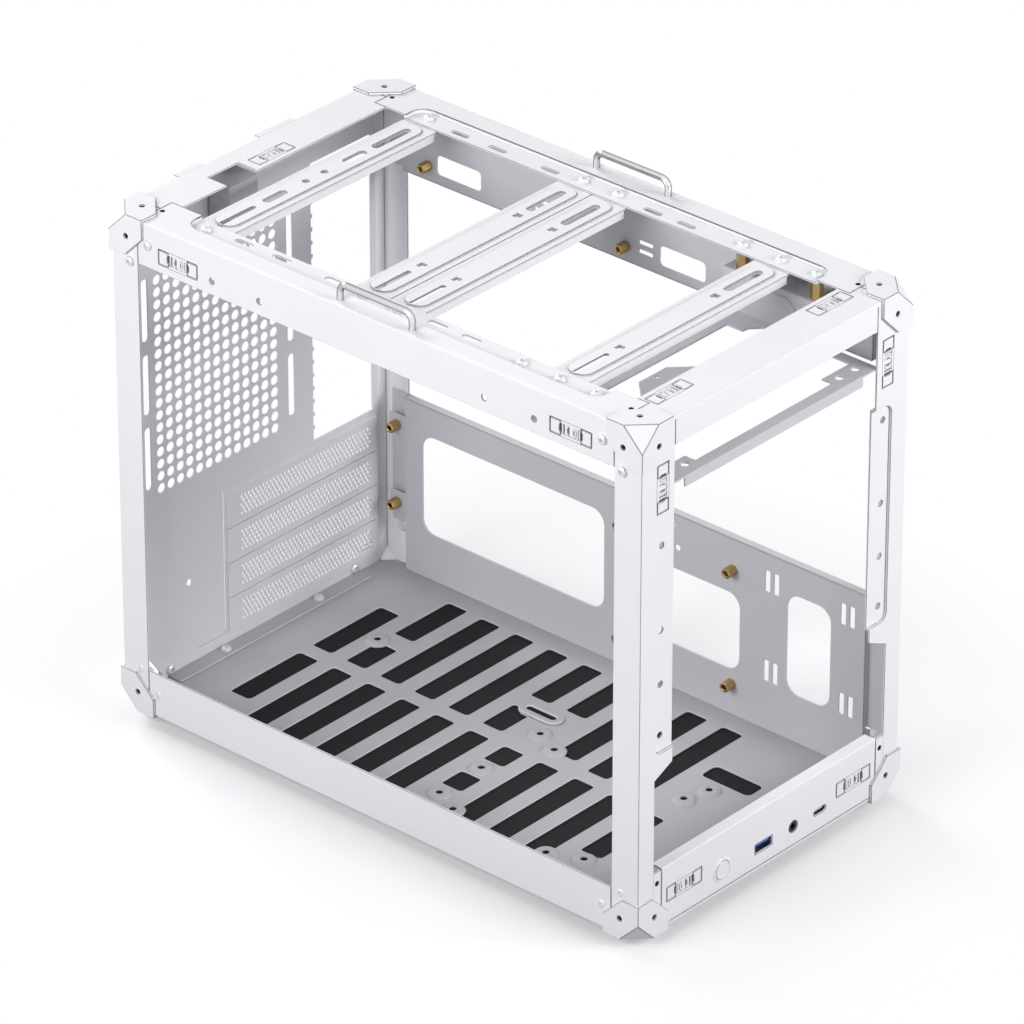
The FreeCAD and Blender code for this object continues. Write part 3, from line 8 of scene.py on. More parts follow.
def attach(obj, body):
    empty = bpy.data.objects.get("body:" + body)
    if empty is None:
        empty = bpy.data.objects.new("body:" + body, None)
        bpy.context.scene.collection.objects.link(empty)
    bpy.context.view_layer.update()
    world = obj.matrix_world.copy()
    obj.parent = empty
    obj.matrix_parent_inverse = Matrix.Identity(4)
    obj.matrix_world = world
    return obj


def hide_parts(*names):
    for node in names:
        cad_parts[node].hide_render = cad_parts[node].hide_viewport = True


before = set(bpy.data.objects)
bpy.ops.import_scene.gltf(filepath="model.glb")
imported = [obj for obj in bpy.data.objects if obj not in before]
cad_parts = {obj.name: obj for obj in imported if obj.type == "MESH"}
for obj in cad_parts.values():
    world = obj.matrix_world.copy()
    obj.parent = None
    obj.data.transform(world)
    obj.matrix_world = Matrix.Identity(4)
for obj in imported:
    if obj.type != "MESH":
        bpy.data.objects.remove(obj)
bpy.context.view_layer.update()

MM = 0.001
UP = (0, 0, 1)
FORWARD = (0, -1, 0)

# The case, in millimetres above the pan's lower edge, and the place of its zero in the row frame
HALF_WIDTH = 98.5
HALF_DEPTH = 171.6
HEIGHT = 280.5
RAIL_END = 154.3
SHEET = 1.0
BROKEN_EDGE = 0.28
JOIN_GAP = 0.002
ORIGIN = Vector((0.0, -1.0, 7.0))

# The camera, in millimetres and degrees, from the photograph's own perspective
CAMERA_PLACE = Vector((-2544.7, -2264.5, 2061.7))
CAMERA_YAW = 48.386
CAMERA_PITCH = 29.434
CAMERA_LENS = 278.0


def at(x, y, z):
    """Return a point of the case in the row frame, in metres."""
    return (Vector((x, y, z)) + ORIGIN) * MM


# Materials

def new_material(name):
    material = bpy.data.materials.new(name)
    material.use_nodes = True
    tree = material.node_tree
    return material, tree, tree.nodes["Principled BSDF"]


def add_node(tree, kind, **values):
    """Add a shader node with values for its inputs: an underscore stands for a space in a name."""
    node = tree.nodes.new("ShaderNode" + kind)
    for name, value in values.items():
        node.inputs[name.replace("_", " ")].default_value = value
    return node


def add_noise(tree, scale, detail=3.0):
    place = add_node(tree, "TexCoord")
    noise = add_node(tree, "TexNoise", Scale=scale, Detail=detail)
    tree.links.new(place.outputs["Object"], noise.inputs["Vector"])
    return noise


def ramp(tree, value, low, high, start=0.3, end=0.7):
    """Turn a value into a colour between two colours."""
    colours = add_node(tree, "ValToRGB")
    colours.color_ramp.elements[0].position = start
    colours.color_ramp.elements[0].color = (*low, 1.0)
    colours.color_ramp.elements[1].position = end
    colours.color_ramp.elements[1].color = (*high, 1.0)
    tree.links.new(value, colours.inputs["Fac"])
    return colours.outputs["Color"]


def spread(tree, value, low, high):
    """Turn a value from 0 to 1 into one between two numbers."""
    mapping = add_node(tree, "MapRange", To_Min=low, To_Max=high)
    tree.links.new(value, mapping.inputs["Value"])
    return mapping.outputs["Result"]


def add_bump(tree, shader, height, strength, distance):
    bump = add_node(tree, "Bump", Strength=strength, Distance=distance)
    tree.links.new(height, bump.inputs["Height"])
    tree.links.new(bump.outputs["Normal"], shader.inputs["Normal"])


def coated(name, shade, roughness, grain, metallic=0.0, specular=0.5):
    """A finish whose colour, roughness and surface vary a little over the piece."""
    material, tree, shader = new_material(name)
    cloud = add_noise(tree, 9.0)
    low = tuple(channel * 0.965 for channel in shade)
    tree.links.new(ramp(tree, cloud.outputs["Fac"], low, shade), shader.inputs["Base Color"])
    fine = add_noise(tree, grain, 2.0)
    rough = spread(tree, fine.outputs["Fac"], roughness - 0.06, roughness + 0.06)
    tree.links.new(rough, shader.inputs["Roughness"])
    add_bump(tree, shader, fine.outputs["Fac"], 0.12, 0.04 * MM)
    shader.inputs["Metallic"].default_value = metallic
    shader.inputs["Specular IOR Level"].default_value = specular
    return material


def mesh_material():
    """Fine woven black nylon: two crossing sets of threads with dark holes between."""
    material, tree, shader = new_material("filter_mesh")
    place = add_node(tree, "TexCoord")
    heights = []
    for direction in ("X", "Y"):
        wave = add_node(tree, "TexWave", Scale=260.0)
        wave.bands_direction = direction
        tree.links.new(place.outputs["Object"], wave.inputs["Vector"])
        heights.append(wave.outputs["Fac"])
    weave = add_node(tree, "Math")
    weave.operation = "MAXIMUM"
    tree.links.new(heights[0], weave.inputs[0])
    tree.links.new(heights[1], weave.inputs[1])
    colour = ramp(tree, weave.outputs["Value"], (0.001, 0.001, 0.0012), (0.009, 0.009, 0.011), 0.5, 0.95)
    tree.links.new(colour, shader.inputs["Base Color"])
    shader.inputs["Roughness"].default_value = 0.7
    shader.inputs["Specular IOR Level"].default_value = 0.2
    add_bump(tree, shader, weave.outputs["Value"], 0.6, 0.2 * MM)
    return material


def chromed():
    """Bright wire whose colour goes dark towards its grazing sides: a painted reflection."""
    material = coated("chromed_wire", (0.8, 0.8, 0.82), 0.12, 300.0, metallic=1.0)
    tree = material.node_tree
    shader = tree.nodes["Principled BSDF"]
    # Painted reflection: the wire's colour darkens where it is seen edge-on
    weight = add_node(tree, "LayerWeight", Blend=0.35)
    colour = ramp(tree, weight.outputs["Facing"], (0.82, 0.82, 0.84), (0.05, 0.05, 0.055), 0.1, 0.55)
    tree.links.new(colour, shader.inputs["Base Color"])
    return material


MATERIALS = {
    "white_sheet": coated("white_powder_coat", (0.86, 0.86, 0.89), 0.42, 900.0),
    # Greyer copies of the white coat for the trays and brackets, the rear panel and covers, and the floor:
    # painted shade for the inside of the case
    "inner_sheet": coated("inner_coat_painted_shade", (0.58, 0.58, 0.61), 0.45, 900.0),
    "rear_sheet": coated("rear_coat_painted_shade", (0.76, 0.76, 0.79), 0.45, 900.0),
    "painted_shade_floor_sheet": coated("floor_coat_painted_shade", (0.42, 0.42, 0.445), 0.5, 900.0),
    # Dark grey for broken edges: painted shade along each edge
    "painted_edge_shade": coated("edge_painted_shade", (0.3, 0.3, 0.325), 0.6, 900.0, specular=0.2),
    # Near black discs in holes: painted shade
    "black_recess": coated("hole_shade_paint", (0.006, 0.006, 0.007), 0.6, 500.0, specular=0.1),
    # Dark grey behind the sockets' gaps: painted shade
    "grey_recess": coated("shaded_recess", (0.07, 0.07, 0.078), 0.6, 500.0, specular=0.2),
    "white_plastic": coated("white_moulding", (0.86, 0.86, 0.88), 0.35, 500.0),
    "black_mesh": mesh_material(),
    "black_rubber": coated("rubber", (0.02, 0.02, 0.021), 0.75, 600.0),
    "brass": coated("brass", (0.48, 0.33, 0.14), 0.34, 700.0, metallic=1.0),
    "chrome": chromed(),
    "screw_steel": coated("screw_plating", (0.78, 0.78, 0.8), 0.32, 700.0, metallic=0.4),
    "port_steel": coated("port_shell", (0.55, 0.55, 0.57), 0.28, 700.0, metallic=1.0),
    "blue_plastic": coated("blue_tongue", (0.02, 0.09, 0.42), 0.38, 500.0),
    "black_plastic": coated("black_moulding", (0.012, 0.012, 0.013), 0.4, 500.0),
    "grey_plastic": coated("grey_moulding", (0.48, 0.48, 0.5), 0.45, 500.0),
    "board": coated("circuit_board", (0.03, 0.05, 0.04), 0.45, 400.0),
}


# Pieces

# Each finish's broken edges take a second finish: painted shade on the white coat and plastic, and a
# painted highlight, the lighter inner coat, on the floor
EDGES = {"white_sheet": "painted_edge_shade", "white_plastic": "painted_edge_shade", "painted_shade_floor_sheet": "inner_sheet"}

# Angles between faces, in radians: below the first they look as one, above the second the edge is broken
SMOOTH_ANGLE = math.radians(25.0)
SHARP_ANGLE = 0.6


def add_piece(name, mesh, finish, nodes=(), body="frame"):
    """Show a mesh that is already in its place, with one finish, riding on a body."""
    mesh.materials.append(MATERIALS[finish])
    mesh.materials.append(MATERIALS[EDGES.get(finish, finish)])
    piece = bpy.data.objects.new(name, mesh)
    bpy.context.scene.collection.objects.link(piece)
    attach(piece, body)
    if nodes:
        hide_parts(*nodes)


def finish_mesh(bm, name, smooth=True):
    mesh = bpy.data.meshes.new(name)
    bm.to_mesh(mesh)
    bm.free()
    if smooth:
        mesh.shade_smooth()
        mesh.set_sharp_from_angle(angle=SMOOTH_ANGLE)
    return mesh


def add_sheet(sheet, name, finish, nodes=(), body="frame"):
    """Show a mesh as a piece, with its faces turned outward."""
    bmesh.ops.recalc_face_normals(sheet, faces=sheet.faces)
    add_piece(name, finish_mesh(sheet, name), finish, nodes, body)


def finish_sheet(sheet, node, finish="white_sheet"):
    """Show a mesh in the place of a node."""
    add_sheet(sheet, node + "_finished", finish, [node])


def chamfer(bm, width):
    """Break every sharp edge by a small even width, which shows as the thin line along a real edge."""
    sharp = [edge for edge in bm.edges
             if len(edge.link_faces) == 2 and edge.calc_face_angle(0.0) > SHARP_ANGLE]
    made = bmesh.ops.bevel(bm, geom=sharp, offset=width, offset_type="OFFSET", segments=1, profile=0.5,
                           affect="EDGES", clamp_overlap=False)
    return made["faces"]


def clean_copy(node):
    """Copy a node's mesh with its corners joined."""
    bm = bmesh.new()
    bm.from_mesh(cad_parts[node].data)
    bmesh.ops.remove_doubles(bm, verts=bm.verts, dist=JOIN_GAP * MM)
    return bm


def dress(node, finish="white_sheet", width=BROKEN_EDGE, lined=True):
    """Show a node's own shape with its edges broken, and lined with its edge finish, painted shade on the
    white finishes.
    """
    bm = clean_copy(node)
    for face in chamfer(bm, width * MM):
        face.material_index = 1 if lined else 0
    add_piece(node + "_finished", finish_mesh(bm, node, False), finish, [node])


def islands(node):
    """Return the lowest and highest corner of each separate solid of a node, in metres."""
    bm = clean_copy(node)
    seen = set()
    boxes = []
    for start in bm.verts:
        if start in seen:
            continue
        seen.add(start)
        found = [start]
        # The list grows while it is read, until no neighbour is new
        for vert in found:
            for edge in vert.link_edges:
                other = edge.other_vert(vert)
                if other not in seen:
                    seen.add(other)
                    found.append(other)
        low = Vector([min(vert.co[axis] for vert in found) for axis in range(3)])
        high = Vector([max(vert.co[axis] for vert in found) for axis in range(3)])
        boxes.append((low, high))
    bm.free()
    return boxes


# Outlines, in millimetres on a plane

CLIP_LONG = 26.3
CLIP_TALL = 8.4
SCREW_HOLE = 1.6


def ring(u, v, radius, count=24):
    turns = [2 * math.pi * step / count for step in range(count)]
    return [(u + radius * math.cos(turn), v + radius * math.sin(turn)) for turn in turns]


def arc(u, v, radius, start, end, steps=6):
    """Return the points of an arc between two angles in degrees."""
    turns = [math.radians(start + (end - start) * step / steps) for step in range(steps + 1)]
    return [(u + radius * math.cos(turn), v + radius * math.sin(turn)) for turn in turns]


def box_loop(low_u, high_u, low_v, high_v, radius=0.0):
    """Return a rectangle, with round corners if a radius is given."""
    if not radius:
        return [(low_u, low_v), (high_u, low_v), (high_u, high_v), (low_u, high_v)]
    points = arc(high_u - radius, low_v + radius, radius, -90, 0)
    points += arc(high_u - radius, high_v - radius, radius, 0, 90)
    points += arc(low_u + radius, high_v - radius, radius, 90, 180)
    points += arc(low_u + radius, low_v + radius, radius, 180, 270)
    return points


def slot_loop(low_u, high_u, low_v, high_v):
    """Return a slot with full round ends."""
    radius = min(high_u - low_u, high_v - low_v) / 2 - 0.01
    return box_loop(low_u, high_u, low_v, high_v, radius)


def clip_loop(u, v):
    """Return the opening that a panel socket sits in."""
    return box_loop(u - CLIP_LONG / 2, u + CLIP_LONG / 2, v - CLIP_TALL / 2, v + CLIP_TALL / 2, 0.5)


def screw_hole(u, v):
    return ring(u, v, SCREW_HOLE, 16)


def mirrored(right):
    """Close an outline that is drawn from front to rear on the right side only."""
    return right + [(-u, v) for u, v in reversed(right)]


def flipped(side, loop):
    """Return a loop drawn on the right side, on the side asked for: 1 is right and -1 left."""
    return [(side * u, v) for u, v in loop]


def span(side, near, far):
    """Return two distances from the middle as a low and a high level on one side of it."""
    return sorted((side * near, side * far))


def bend_loop(side, outer, top, radius=0.7, leg=2.0, over=0.02):
    """Return the section of a fold between a wall and the level above it, as a press brake leaves it."""
    outer += over
    top += over
    section = [(outer, top - leg)]
    section += arc(outer - radius, top - radius, radius, 0, 90, 5)
    section += [(outer - leg, top), (outer - leg, top - SHEET + 0.1)]
    section += [(outer - SHEET + 0.1, top - SHEET + 0.1), (outer - SHEET + 0.1, top - leg)]
    return flipped(side, section)


def wound(points, left):
    """Turn a loop so that the sheet lies on its left, as an outline, or on its right, as a hole."""
    area = sum(a[0] * b[1] - b[0] * a[1] for a, b in zip(points, points[1:] + points[:1]))
    return points if (area > 0) == left else points[::-1]


# Plates and round forms

PLANES = {
    "XY": Matrix(((1, 0, 0), (0, 1, 0), (0, 0, 1))),
    "XZ": Matrix(((1, 0, 0), (0, 0, 1), (0, 1, 0))),
    "YZ": Matrix(((0, 0, 1), (1, 0, 0), (0, 1, 0))),
}


def cut_outline(loops, thickness, edge):
    """Return a filled plate with broken edges, from its outline and then its holes."""
    curve = bpy.data.curves.new("outline", "CURVE")
    curve.dimensions = "2D"
    curve.fill_mode = "BOTH"
    curve.extrude = thickness / 2 - edge
    curve.bevel_depth = edge
    curve.bevel_resolution = 0
    curve.offset = -edge
    for index, points in enumerate(loops):
        spline = curve.splines.new("POLY")
        spline.points.add(len(points) - 1)
        for point, (u, v) in zip(spline.points, wound(points, index == 0)):
            point.co = (u, v, 0, 1)
        spline.use_cyclic_u = True
    holder = bpy.data.objects.new("outline", curve)
    mesh = bpy.data.meshes.new_from_object(holder)
    bpy.data.objects.remove(holder)
    bpy.data.curves.remove(curve)
    return mesh


def add_plate(sheet, plane, low, high, outline, holes=(), edge=BROKEN_EDGE):
    """Add a flat plate between two levels of a plane's normal to a sheet's mesh."""
    middle_u = (min(u for u, _ in outline) + max(u for u, _ in outline)) / 2
    middle_v = (min(v for _, v in outline) + max(v for _, v in outline)) / 2
    centred = [[(u - middle_u, v - middle_v) for u, v in loop] for loop in (outline, *holes)]
    mesh = cut_outline(centred, high - low, edge)
    plate = bmesh.new()
    plate.from_mesh(mesh)
    bmesh.ops.remove_doubles(plate, verts=plate.verts, dist=JOIN_GAP)
    turn = PLANES[plane]
    shift = Vector((middle_u, middle_v, (low + high) / 2))
    for face in plate.faces:
        face.normal_update()
        # A slanted face belongs to a broken edge and takes the edge finish: painted shade, or a painted
        # highlight on the floor
        if 0.2 < abs(face.normal.z) < 0.95:
            face.material_index = 1
    for vert in plate.verts:
        vert.co = (turn @ (vert.co + shift) + ORIGIN) * MM
    bmesh.ops.recalc_face_normals(plate, faces=plate.faces)
    plate.to_mesh(mesh)
    plate.free()
    sheet.from_mesh(mesh)
    bpy.data.meshes.remove(mesh)


def add_rings(sheet, profile, place, way, count):
    """Add a ring of corners for each radius and height of a profile, about an axis through a place."""
    turn = Vector(UP).rotation_difference(Vector(way))
    rings = []
    for radius, height in profile:
        corners = [turn @ Vector((u, v, height)) for u, v in ring(0, 0, radius, count)]
        rings.append([sheet.verts.new((Vector(place) + corner + ORIGIN) * MM) for corner in corners])
    return rings


def join_rings(sheet, rings):
    """Fill the band between each ring of corners and the next."""
    for low, high in zip(rings, rings[1:]):
        for index in range(len(low)):
            after = (index + 1) % len(low)
            sheet.faces.new((low[index], low[after], high[after], high[index]))


def close_rings(sheet, rings):
    """Fill the bands between the rings, and the first and the last ring themselves."""
    join_rings(sheet, rings)
    sheet.faces.new(rings[0][::-1])
    sheet.faces.new(rings[-1])


def add_turned(sheet, profile, place, way, count):
    """Add a solid round form."""
    close_rings(sheet, add_rings(sheet, profile, place, way, count))


def add_hollow_turned(sheet, profile, place, way, count):
    """Add a round form with a hole through it: the profile closes on itself."""
    rings = add_rings(sheet, profile, place, way, count)
    join_rings(sheet, rings + rings[:1])


# Base pan

FLOOR_TOP = 2.3
FLANGE_HALF = 81
FLANGE_TOP = 34.3
BUTTON_X = -35.6
PORT_Z = 12.3
FLOOR_SCREWS = ((-30.9, 165.1), (39.0, 165.1))
PANEL_SCREWS = (-67.7, 70.8)
PANEL_SCREW_Z = 6.2
VENT_ROWS = 11
VENT_REAR = 130.2
VENT_PITCH = 23.35
VENT_HALF = 6.7
VENT_BANKS = ((-83.5, -5.6), (3.3, 81.3))
VENT_SPECIAL = {
    0: ((-58.0, -6.0), (3.3, 55.5)),
    1: ((-83.5, -5.6), (3.3, 28.0), (39.8, 82.0)),
    5: ((-83.5, -5.6), (3.3, 28.0), (40.0, 81.3)),
    6: ((-53.4, -37.8), (-22.0, -5.7), (40.5, 81.3)),
    7: ((-83.5, -5.6), (6.4, 81.3)),
    10: ((-55.0, -6.4),),
}
BOSSES = (
    (28.6, 114.6), (13.4, -10.2), (6.4, -25.7), (-30.6, -9.8), (-62.1, -10.0),
    (-69.4, -25.5), (-69.4, -86.9), (-61.6, -105.0), (14.0, -104.7), (28.6, -108.8),
)
BOSS_BORE = 1.9
BOSS_TOP = 3.6
BOSS_PROFILE = [
    (6.6, 2.2), (6.2, 2.8), (5.5, 3.35), (4.8, BOSS_TOP), (2.3, BOSS_TOP),
    (BOSS_BORE, 3.4), (BOSS_BORE, 2.2),
]
LONG_BORE = slot_loop(27.2, 30.8, -6.8, 12.3)


def split_runs(loop, step):
    """Return a loop with points added along its longer runs."""
    points = []
    for (start_u, start_v), (end_u, end_v) in zip(loop, loop[1:] + loop[:1]):
        count = max(1, int(math.dist((start_u, start_v), (end_u, end_v)) / step))
        for index in range(count):
            part = index / count
            points.append((start_u + (end_u - start_u) * part, start_v + (end_v - start_v) * part))
    return points


def led_round(loop, x, low_y, high_y, radius):
    """Lead a loop round a raised boss that reaches over it."""
    near = [math.dist((u, v), (x, min(max(v, low_y), high_y))) < radius for u, v in loop]
    if not any(near):
        return loop
    points = []
    for u, v in split_runs(loop, 0.8):
        centre = (x, min(max(v, low_y), high_y))
        away = math.dist((u, v), centre)
        if away < radius:
            u = centre[0] + (u - centre[0]) * radius / away
            v = centre[1] + (v - centre[1]) * radius / away
        points.append((u, v))
    return points


def vent_loops():
    """Return the vents in two banks, led round the bosses beside them."""
    loops = []
    for row in range(VENT_ROWS):
        middle = VENT_REAR - row * VENT_PITCH
        for left, right in VENT_SPECIAL.get(row, VENT_BANKS):
            loop = split_runs(box_loop(left, right, middle - VENT_HALF, middle + VENT_HALF, 2.0), 3.0)
            for x, y in BOSSES:
                loop = led_round(loop, x, y, y, 6.4)
            loops.append(led_round(loop, 29.0, -5.2, 10.7, 5.8))
    loops.append(box_loop(37.9, 50.1, -126.4, -95.1, 3.0))
    return loops


def floor_loop():
    """Return the floor's outline, with the stepped corners that let the posts and caps in."""
    right = [(81, -171.6), (81, -170.3), (90.7, -170.3), (97.2, -163.8), (97.2, -154.3), (98.3, -154.3)]
    right += [(98.3, 154.3), (97.2, 154.3), (97.2, 163.8), (90.7, 170.3), (74.5, 170.3), (74.5, 171.5)]
    return mirrored(right)


def dress_pan_walls():
    """Show the pan's side walls, its front flange with the ports and its low rear flange."""
    pan = bmesh.new()
    for side in (-1, 1):
        wall = box_loop(-RAIL_END, RAIL_END, 0, 25)
        add_plate(pan, "YZ", *span(side, HALF_WIDTH - SHEET, HALF_WIDTH), wall)
    holes = [clip_loop(-64.2, 17.6), clip_loop(64.2, 17.6), ring(BUTTON_X, PORT_Z, 5.3, 32)]
    holes += [box_loop(-11.2, 2.2, 9.3, 15.3, 0.4), ring(18.2, PORT_Z, 3.3)]
    holes.append(slot_loop(33.8, 43.4, 10.4, 14.2))
    front = box_loop(-FLANGE_HALF, FLANGE_HALF, 0, 33.9)
    add_plate(pan, "XZ", -HALF_DEPTH, SHEET - HALF_DEPTH, front, holes)
    lip = box_loop(-FLANGE_HALF, FLANGE_HALF, 0.4 - HALF_DEPTH, 7 - HALF_DEPTH)
    add_plate(pan, "XY", FLANGE_TOP - SHEET, FLANGE_TOP, lip)
    add_plate(pan, "YZ", -FLANGE_HALF, FLANGE_HALF, bend_loop(-1, HALF_DEPTH, FLANGE_TOP), edge=0)
    holes = [screw_hole(x, PANEL_SCREW_Z) for x in PANEL_SCREWS]
    add_plate(pan, "XZ", HALF_DEPTH - SHEET, HALF_DEPTH, box_loop(-74.5, 74.5, 0, 10), holes)
    finish_sheet(pan, "base_pan")


def dress_pan_floor():
    """Show the floor with its vents, its ten round bosses and the long one."""
    floor = bmesh.new()
    holes = vent_loops() + [ring(x, y, BOSS_BORE) for x, y in BOSSES]
    holes += [screw_hole(x, y) for x, y in FLOOR_SCREWS]
    holes.append(LONG_BORE)
    add_plate(floor, "XY", FLOOR_TOP - SHEET, FLOOR_TOP, floor_loop(), holes)
    for x, y in BOSSES:
        add_hollow_turned(floor, BOSS_PROFILE, (x, y, 0), UP, 24)
    add_plate(floor, "XY", 2.2, BOSS_TOP, slot_loop(23.2, 34.8, -11, 16.5), [LONG_BORE], 0.6)
    add_sheet(floor, "base_pan_floor", "painted_shade_floor_sheet", ["base_pan"])


# Side rails

RAIL_INNER = 73.8
RAIL_WALL_TOP = 280.1
LEDGE_TOP = 278.5
LEDGE_SCREW_X = 81
LEDGE_SLOT_X = 78.6
FAN_BRACKETS = {
    "fan_bracket_rear": 124.2, "fan_bracket_mid_rear": 21.3,
    "fan_bracket_mid_front": -1.3, "fan_bracket_front": -105.5,
}
SUPPLY_SCREWS = (-81.5, -128.4)
LEDGE_SCREWS = (*FAN_BRACKETS.values(), *SUPPLY_SCREWS)
LEDGE_SLOTS = (101.2, 76.3, 41.4, -25.7, -47.3)


def ledge_corners(radius):
    """Return the two round corners of the right ledge's edge, from rear to front."""
    return arc(78.5, 126, radius, 90, 0) + arc(78.5, -126, radius, 0, -90)


def rail_top_loop():
    """Return the right rail's top, cut back round its sunken ledge."""
    loop = [(98.1, -RAIL_END), (98.1, RAIL_END), (RAIL_INNER, RAIL_END), (RAIL_INNER, 134)]
    return loop + ledge_corners(8) + [(RAIL_INNER, -134), (RAIL_INNER, -RAIL_END)]


def ledge_loop():
    return [(RAIL_INNER, -135)] + ledge_corners(9)[::-1] + [(RAIL_INNER, 135)]


def ledge_rim_loop():
    """Return the thin step between the ledge and the rail's top."""
    return ledge_loop() + [(RAIL_INNER, 134)] + ledge_corners(8) + [(RAIL_INNER, -134)]


def ledge_slot(x, y):
    return slot_loop(x - 1.4, x + 1.4, y - 5.5, y + 5.5)


def dress_side_rail(node, side):
    rail = bmesh.new()
    holes = [clip_loop(y, 265.2) for y in (127.4, -127.4)]
    holes += [ring(y, 264.0, 1.7, 16) for y in (104.5, 73.0, -73.0, -104.5)]
    holes += [screw_hole(y, 268.9) for y in (147.4, -147.4)]
    wall = box_loop(-RAIL_END, RAIL_END, 256.5, RAIL_WALL_TOP)
    add_plate(rail, "YZ", *span(side, HALF_WIDTH - SHEET, HALF_WIDTH), wall, holes)
    add_plate(rail, "XY", HEIGHT - SHEET, HEIGHT, flipped(side, rail_top_loop()))
    add_plate(rail, "XZ", -RAIL_END, RAIL_END, bend_loop(side, HALF_WIDTH, HEIGHT), edge=0)
    holes = [screw_hole(side * LEDGE_SCREW_X, y) for y in LEDGE_SCREWS]
    holes += [ledge_slot(side * LEDGE_SLOT_X, y) for y in LEDGE_SLOTS]
    add_plate(rail, "XY", LEDGE_TOP - SHEET, LEDGE_TOP, flipped(side, ledge_loop()), holes)
    add_plate(rail, "XY", 277.9, 280.2, flipped(side, ledge_rim_loop()), edge=0)
    finish_sheet(rail, node)


# End rails and the brackets across the top

END_RAIL_HALF = 81.9
END_RAIL_LOW = 264.8
SLOTS_MIDDLE = -3.2


def dress_front_rail():
    rail = bmesh.new()
    wall = box_loop(-74.5, 74.5, END_RAIL_LOW, RAIL_WALL_TOP)
    add_plate(rail, "XZ", -HALF_DEPTH, SHEET - HALF_DEPTH, wall)
    top = mirrored([(END_RAIL_HALF, -171.2), (END_RAIL_HALF, -154.6), (73.5, -154.6), (73.5, -147.0)])
    add_plate(rail, "XY", HEIGHT - SHEET, HEIGHT, top, [clip_loop(x, -154.2) for x in (-59, 59)])
    add_plate(rail, "YZ", -END_RAIL_HALF, END_RAIL_HALF, bend_loop(-1, HALF_DEPTH, HEIGHT), edge=0)
    finish_sheet(rail, "rail_front")


def dress_rear_rail():
    """Show the rear rail, with the notch in its wall over the inlet and two hooks on its edge."""
    rail = bmesh.new()
    wall = [(-82.7, END_RAIL_LOW), (-35.0, END_RAIL_LOW), (-35.0, 275.5), (-9.5, 275.5)]
    wall += [(-9.5, END_RAIL_LOW), (86.7, END_RAIL_LOW), (86.7, RAIL_WALL_TOP), (-82.7, RAIL_WALL_TOP)]
    add_plate(rail, "XZ", HALF_DEPTH - SHEET, HALF_DEPTH, wall)
    top = [(END_RAIL_HALF, 171.2), (END_RAIL_HALF, 154.6), (73.5, 154.6), (73.5, 147.0), (-20.5, 147.0)]
    top += [(-20.5, 160.1), (-42.4, 160.1), (-42.4, 147.0), (-73.5, 147.0), (-73.5, 154.6)]
    top += [(-END_RAIL_HALF, 154.6), (-END_RAIL_HALF, 171.2)]
    add_plate(rail, "XY", HEIGHT - SHEET, HEIGHT, top, [clip_loop(-2.4, 154.3)])
    add_plate(rail, "YZ", -END_RAIL_HALF, END_RAIL_HALF, bend_loop(1, HALF_DEPTH, HEIGHT), edge=0)
    for low, high in ((-51.5, -33.1), (6.9, 33.3)):
        add_plate(rail, "XY", HEIGHT - SHEET, HEIGHT, box_loop(low, high, 171.0, 175.1, 0.8))
    finish_sheet(rail, "rail_rear")


def bracket_slots(y, inner_slots):
    """Return a bracket's long slots, with short ones or square holes between them."""
    slots = []
    for side in (-1, 1):
        low, high = sorted((SLOTS_MIDDLE + side * 42.7, SLOTS_MIDDLE + side * 69.0))
        slots.append(slot_loop(low, high, y - 2.0, y + 2.0))
        if inner_slots:
            low, high = sorted((SLOTS_MIDDLE + side * 21.4, SLOTS_MIDDLE + side * 36.5))
            slots.append(slot_loop(low, high, y - 2.0, y + 2.0))
            slots.append(screw_hole(SLOTS_MIDDLE + side * 6.75, y))
        else:
            middle = SLOTS_MIDDLE + side * 34.9
            slots.append(box_loop(middle - 1.7, middle + 1.7, y - 1.7, y + 1.7))
    return slots


def dress_fan_bracket(node, y, inner_slots):
    """Show a bracket: its plate, the raised band round its slots and two folded edges."""
    bracket = bmesh.new()
    slots = bracket_slots(y, inner_slots)
    screws = [screw_hole(side * LEDGE_SCREW_X, y) for side in (-1, 1)]
    add_plate(bracket, "XY", 276.5, 277.5, box_loop(-87.3, 87.3, y - 11.2, y + 11.2, 0.8), slots + screws)
    add_plate(bracket, "XY", 277.3, 278.3, box_loop(-71.5, 71.5, y - 7.2, y + 7.2, 6.0), slots, 0.45)
    for edge in (y - 11.2, y + 10.2):
        add_plate(bracket, "XZ", edge, edge + SHEET, box_loop(-72.3, 72.3, 272.5, 276.9))
    finish_sheet(bracket, node)


# Rear panel and slot covers

PANEL_FACE = HALF_DEPTH - SHEET
SLOT_LEVELS = [18.9 + 20.32 * index for index in range(4)]
FAN_HOLE_PITCH = 6.95


def aperture_loop():
    """Return the port opening, with the small spring teeth along its inner edge."""
    left, right, low, high = 41.7, 86.15, 94.1, 252.85
    tip = left + 1.1
    loop = [(left, low), (right, low), (right, high), (left, high)]
    for step in range(20):
        middle = high - 7.0 - step * 7.6
        loop += [(left, middle + 1.3), (tip, middle + 1.0), (tip, middle - 1.0), (left, middle - 1.3)]
    return loop


def fan_panel_loops():
    """Return the fan's grid of round holes and the upright slots on both sides of it."""
    loops = [ring(-70.3 + FAN_HOLE_PITCH * column, 112.9 + FAN_HOLE_PITCH * row, 2.65, 20)
             for column in range(13) for row in range(18)]
    for low, high in ((115.5, 150.9), (158.4, 192.0), (199.7, 234.7)):
        loops.append(slot_loop(-81.5, -77.3, low, high))
    for low, high in ((115.5, 150.9), (158.4, 234.7)):
        loops.append(slot_loop(23.5, 27.7, low, high))
    return loops


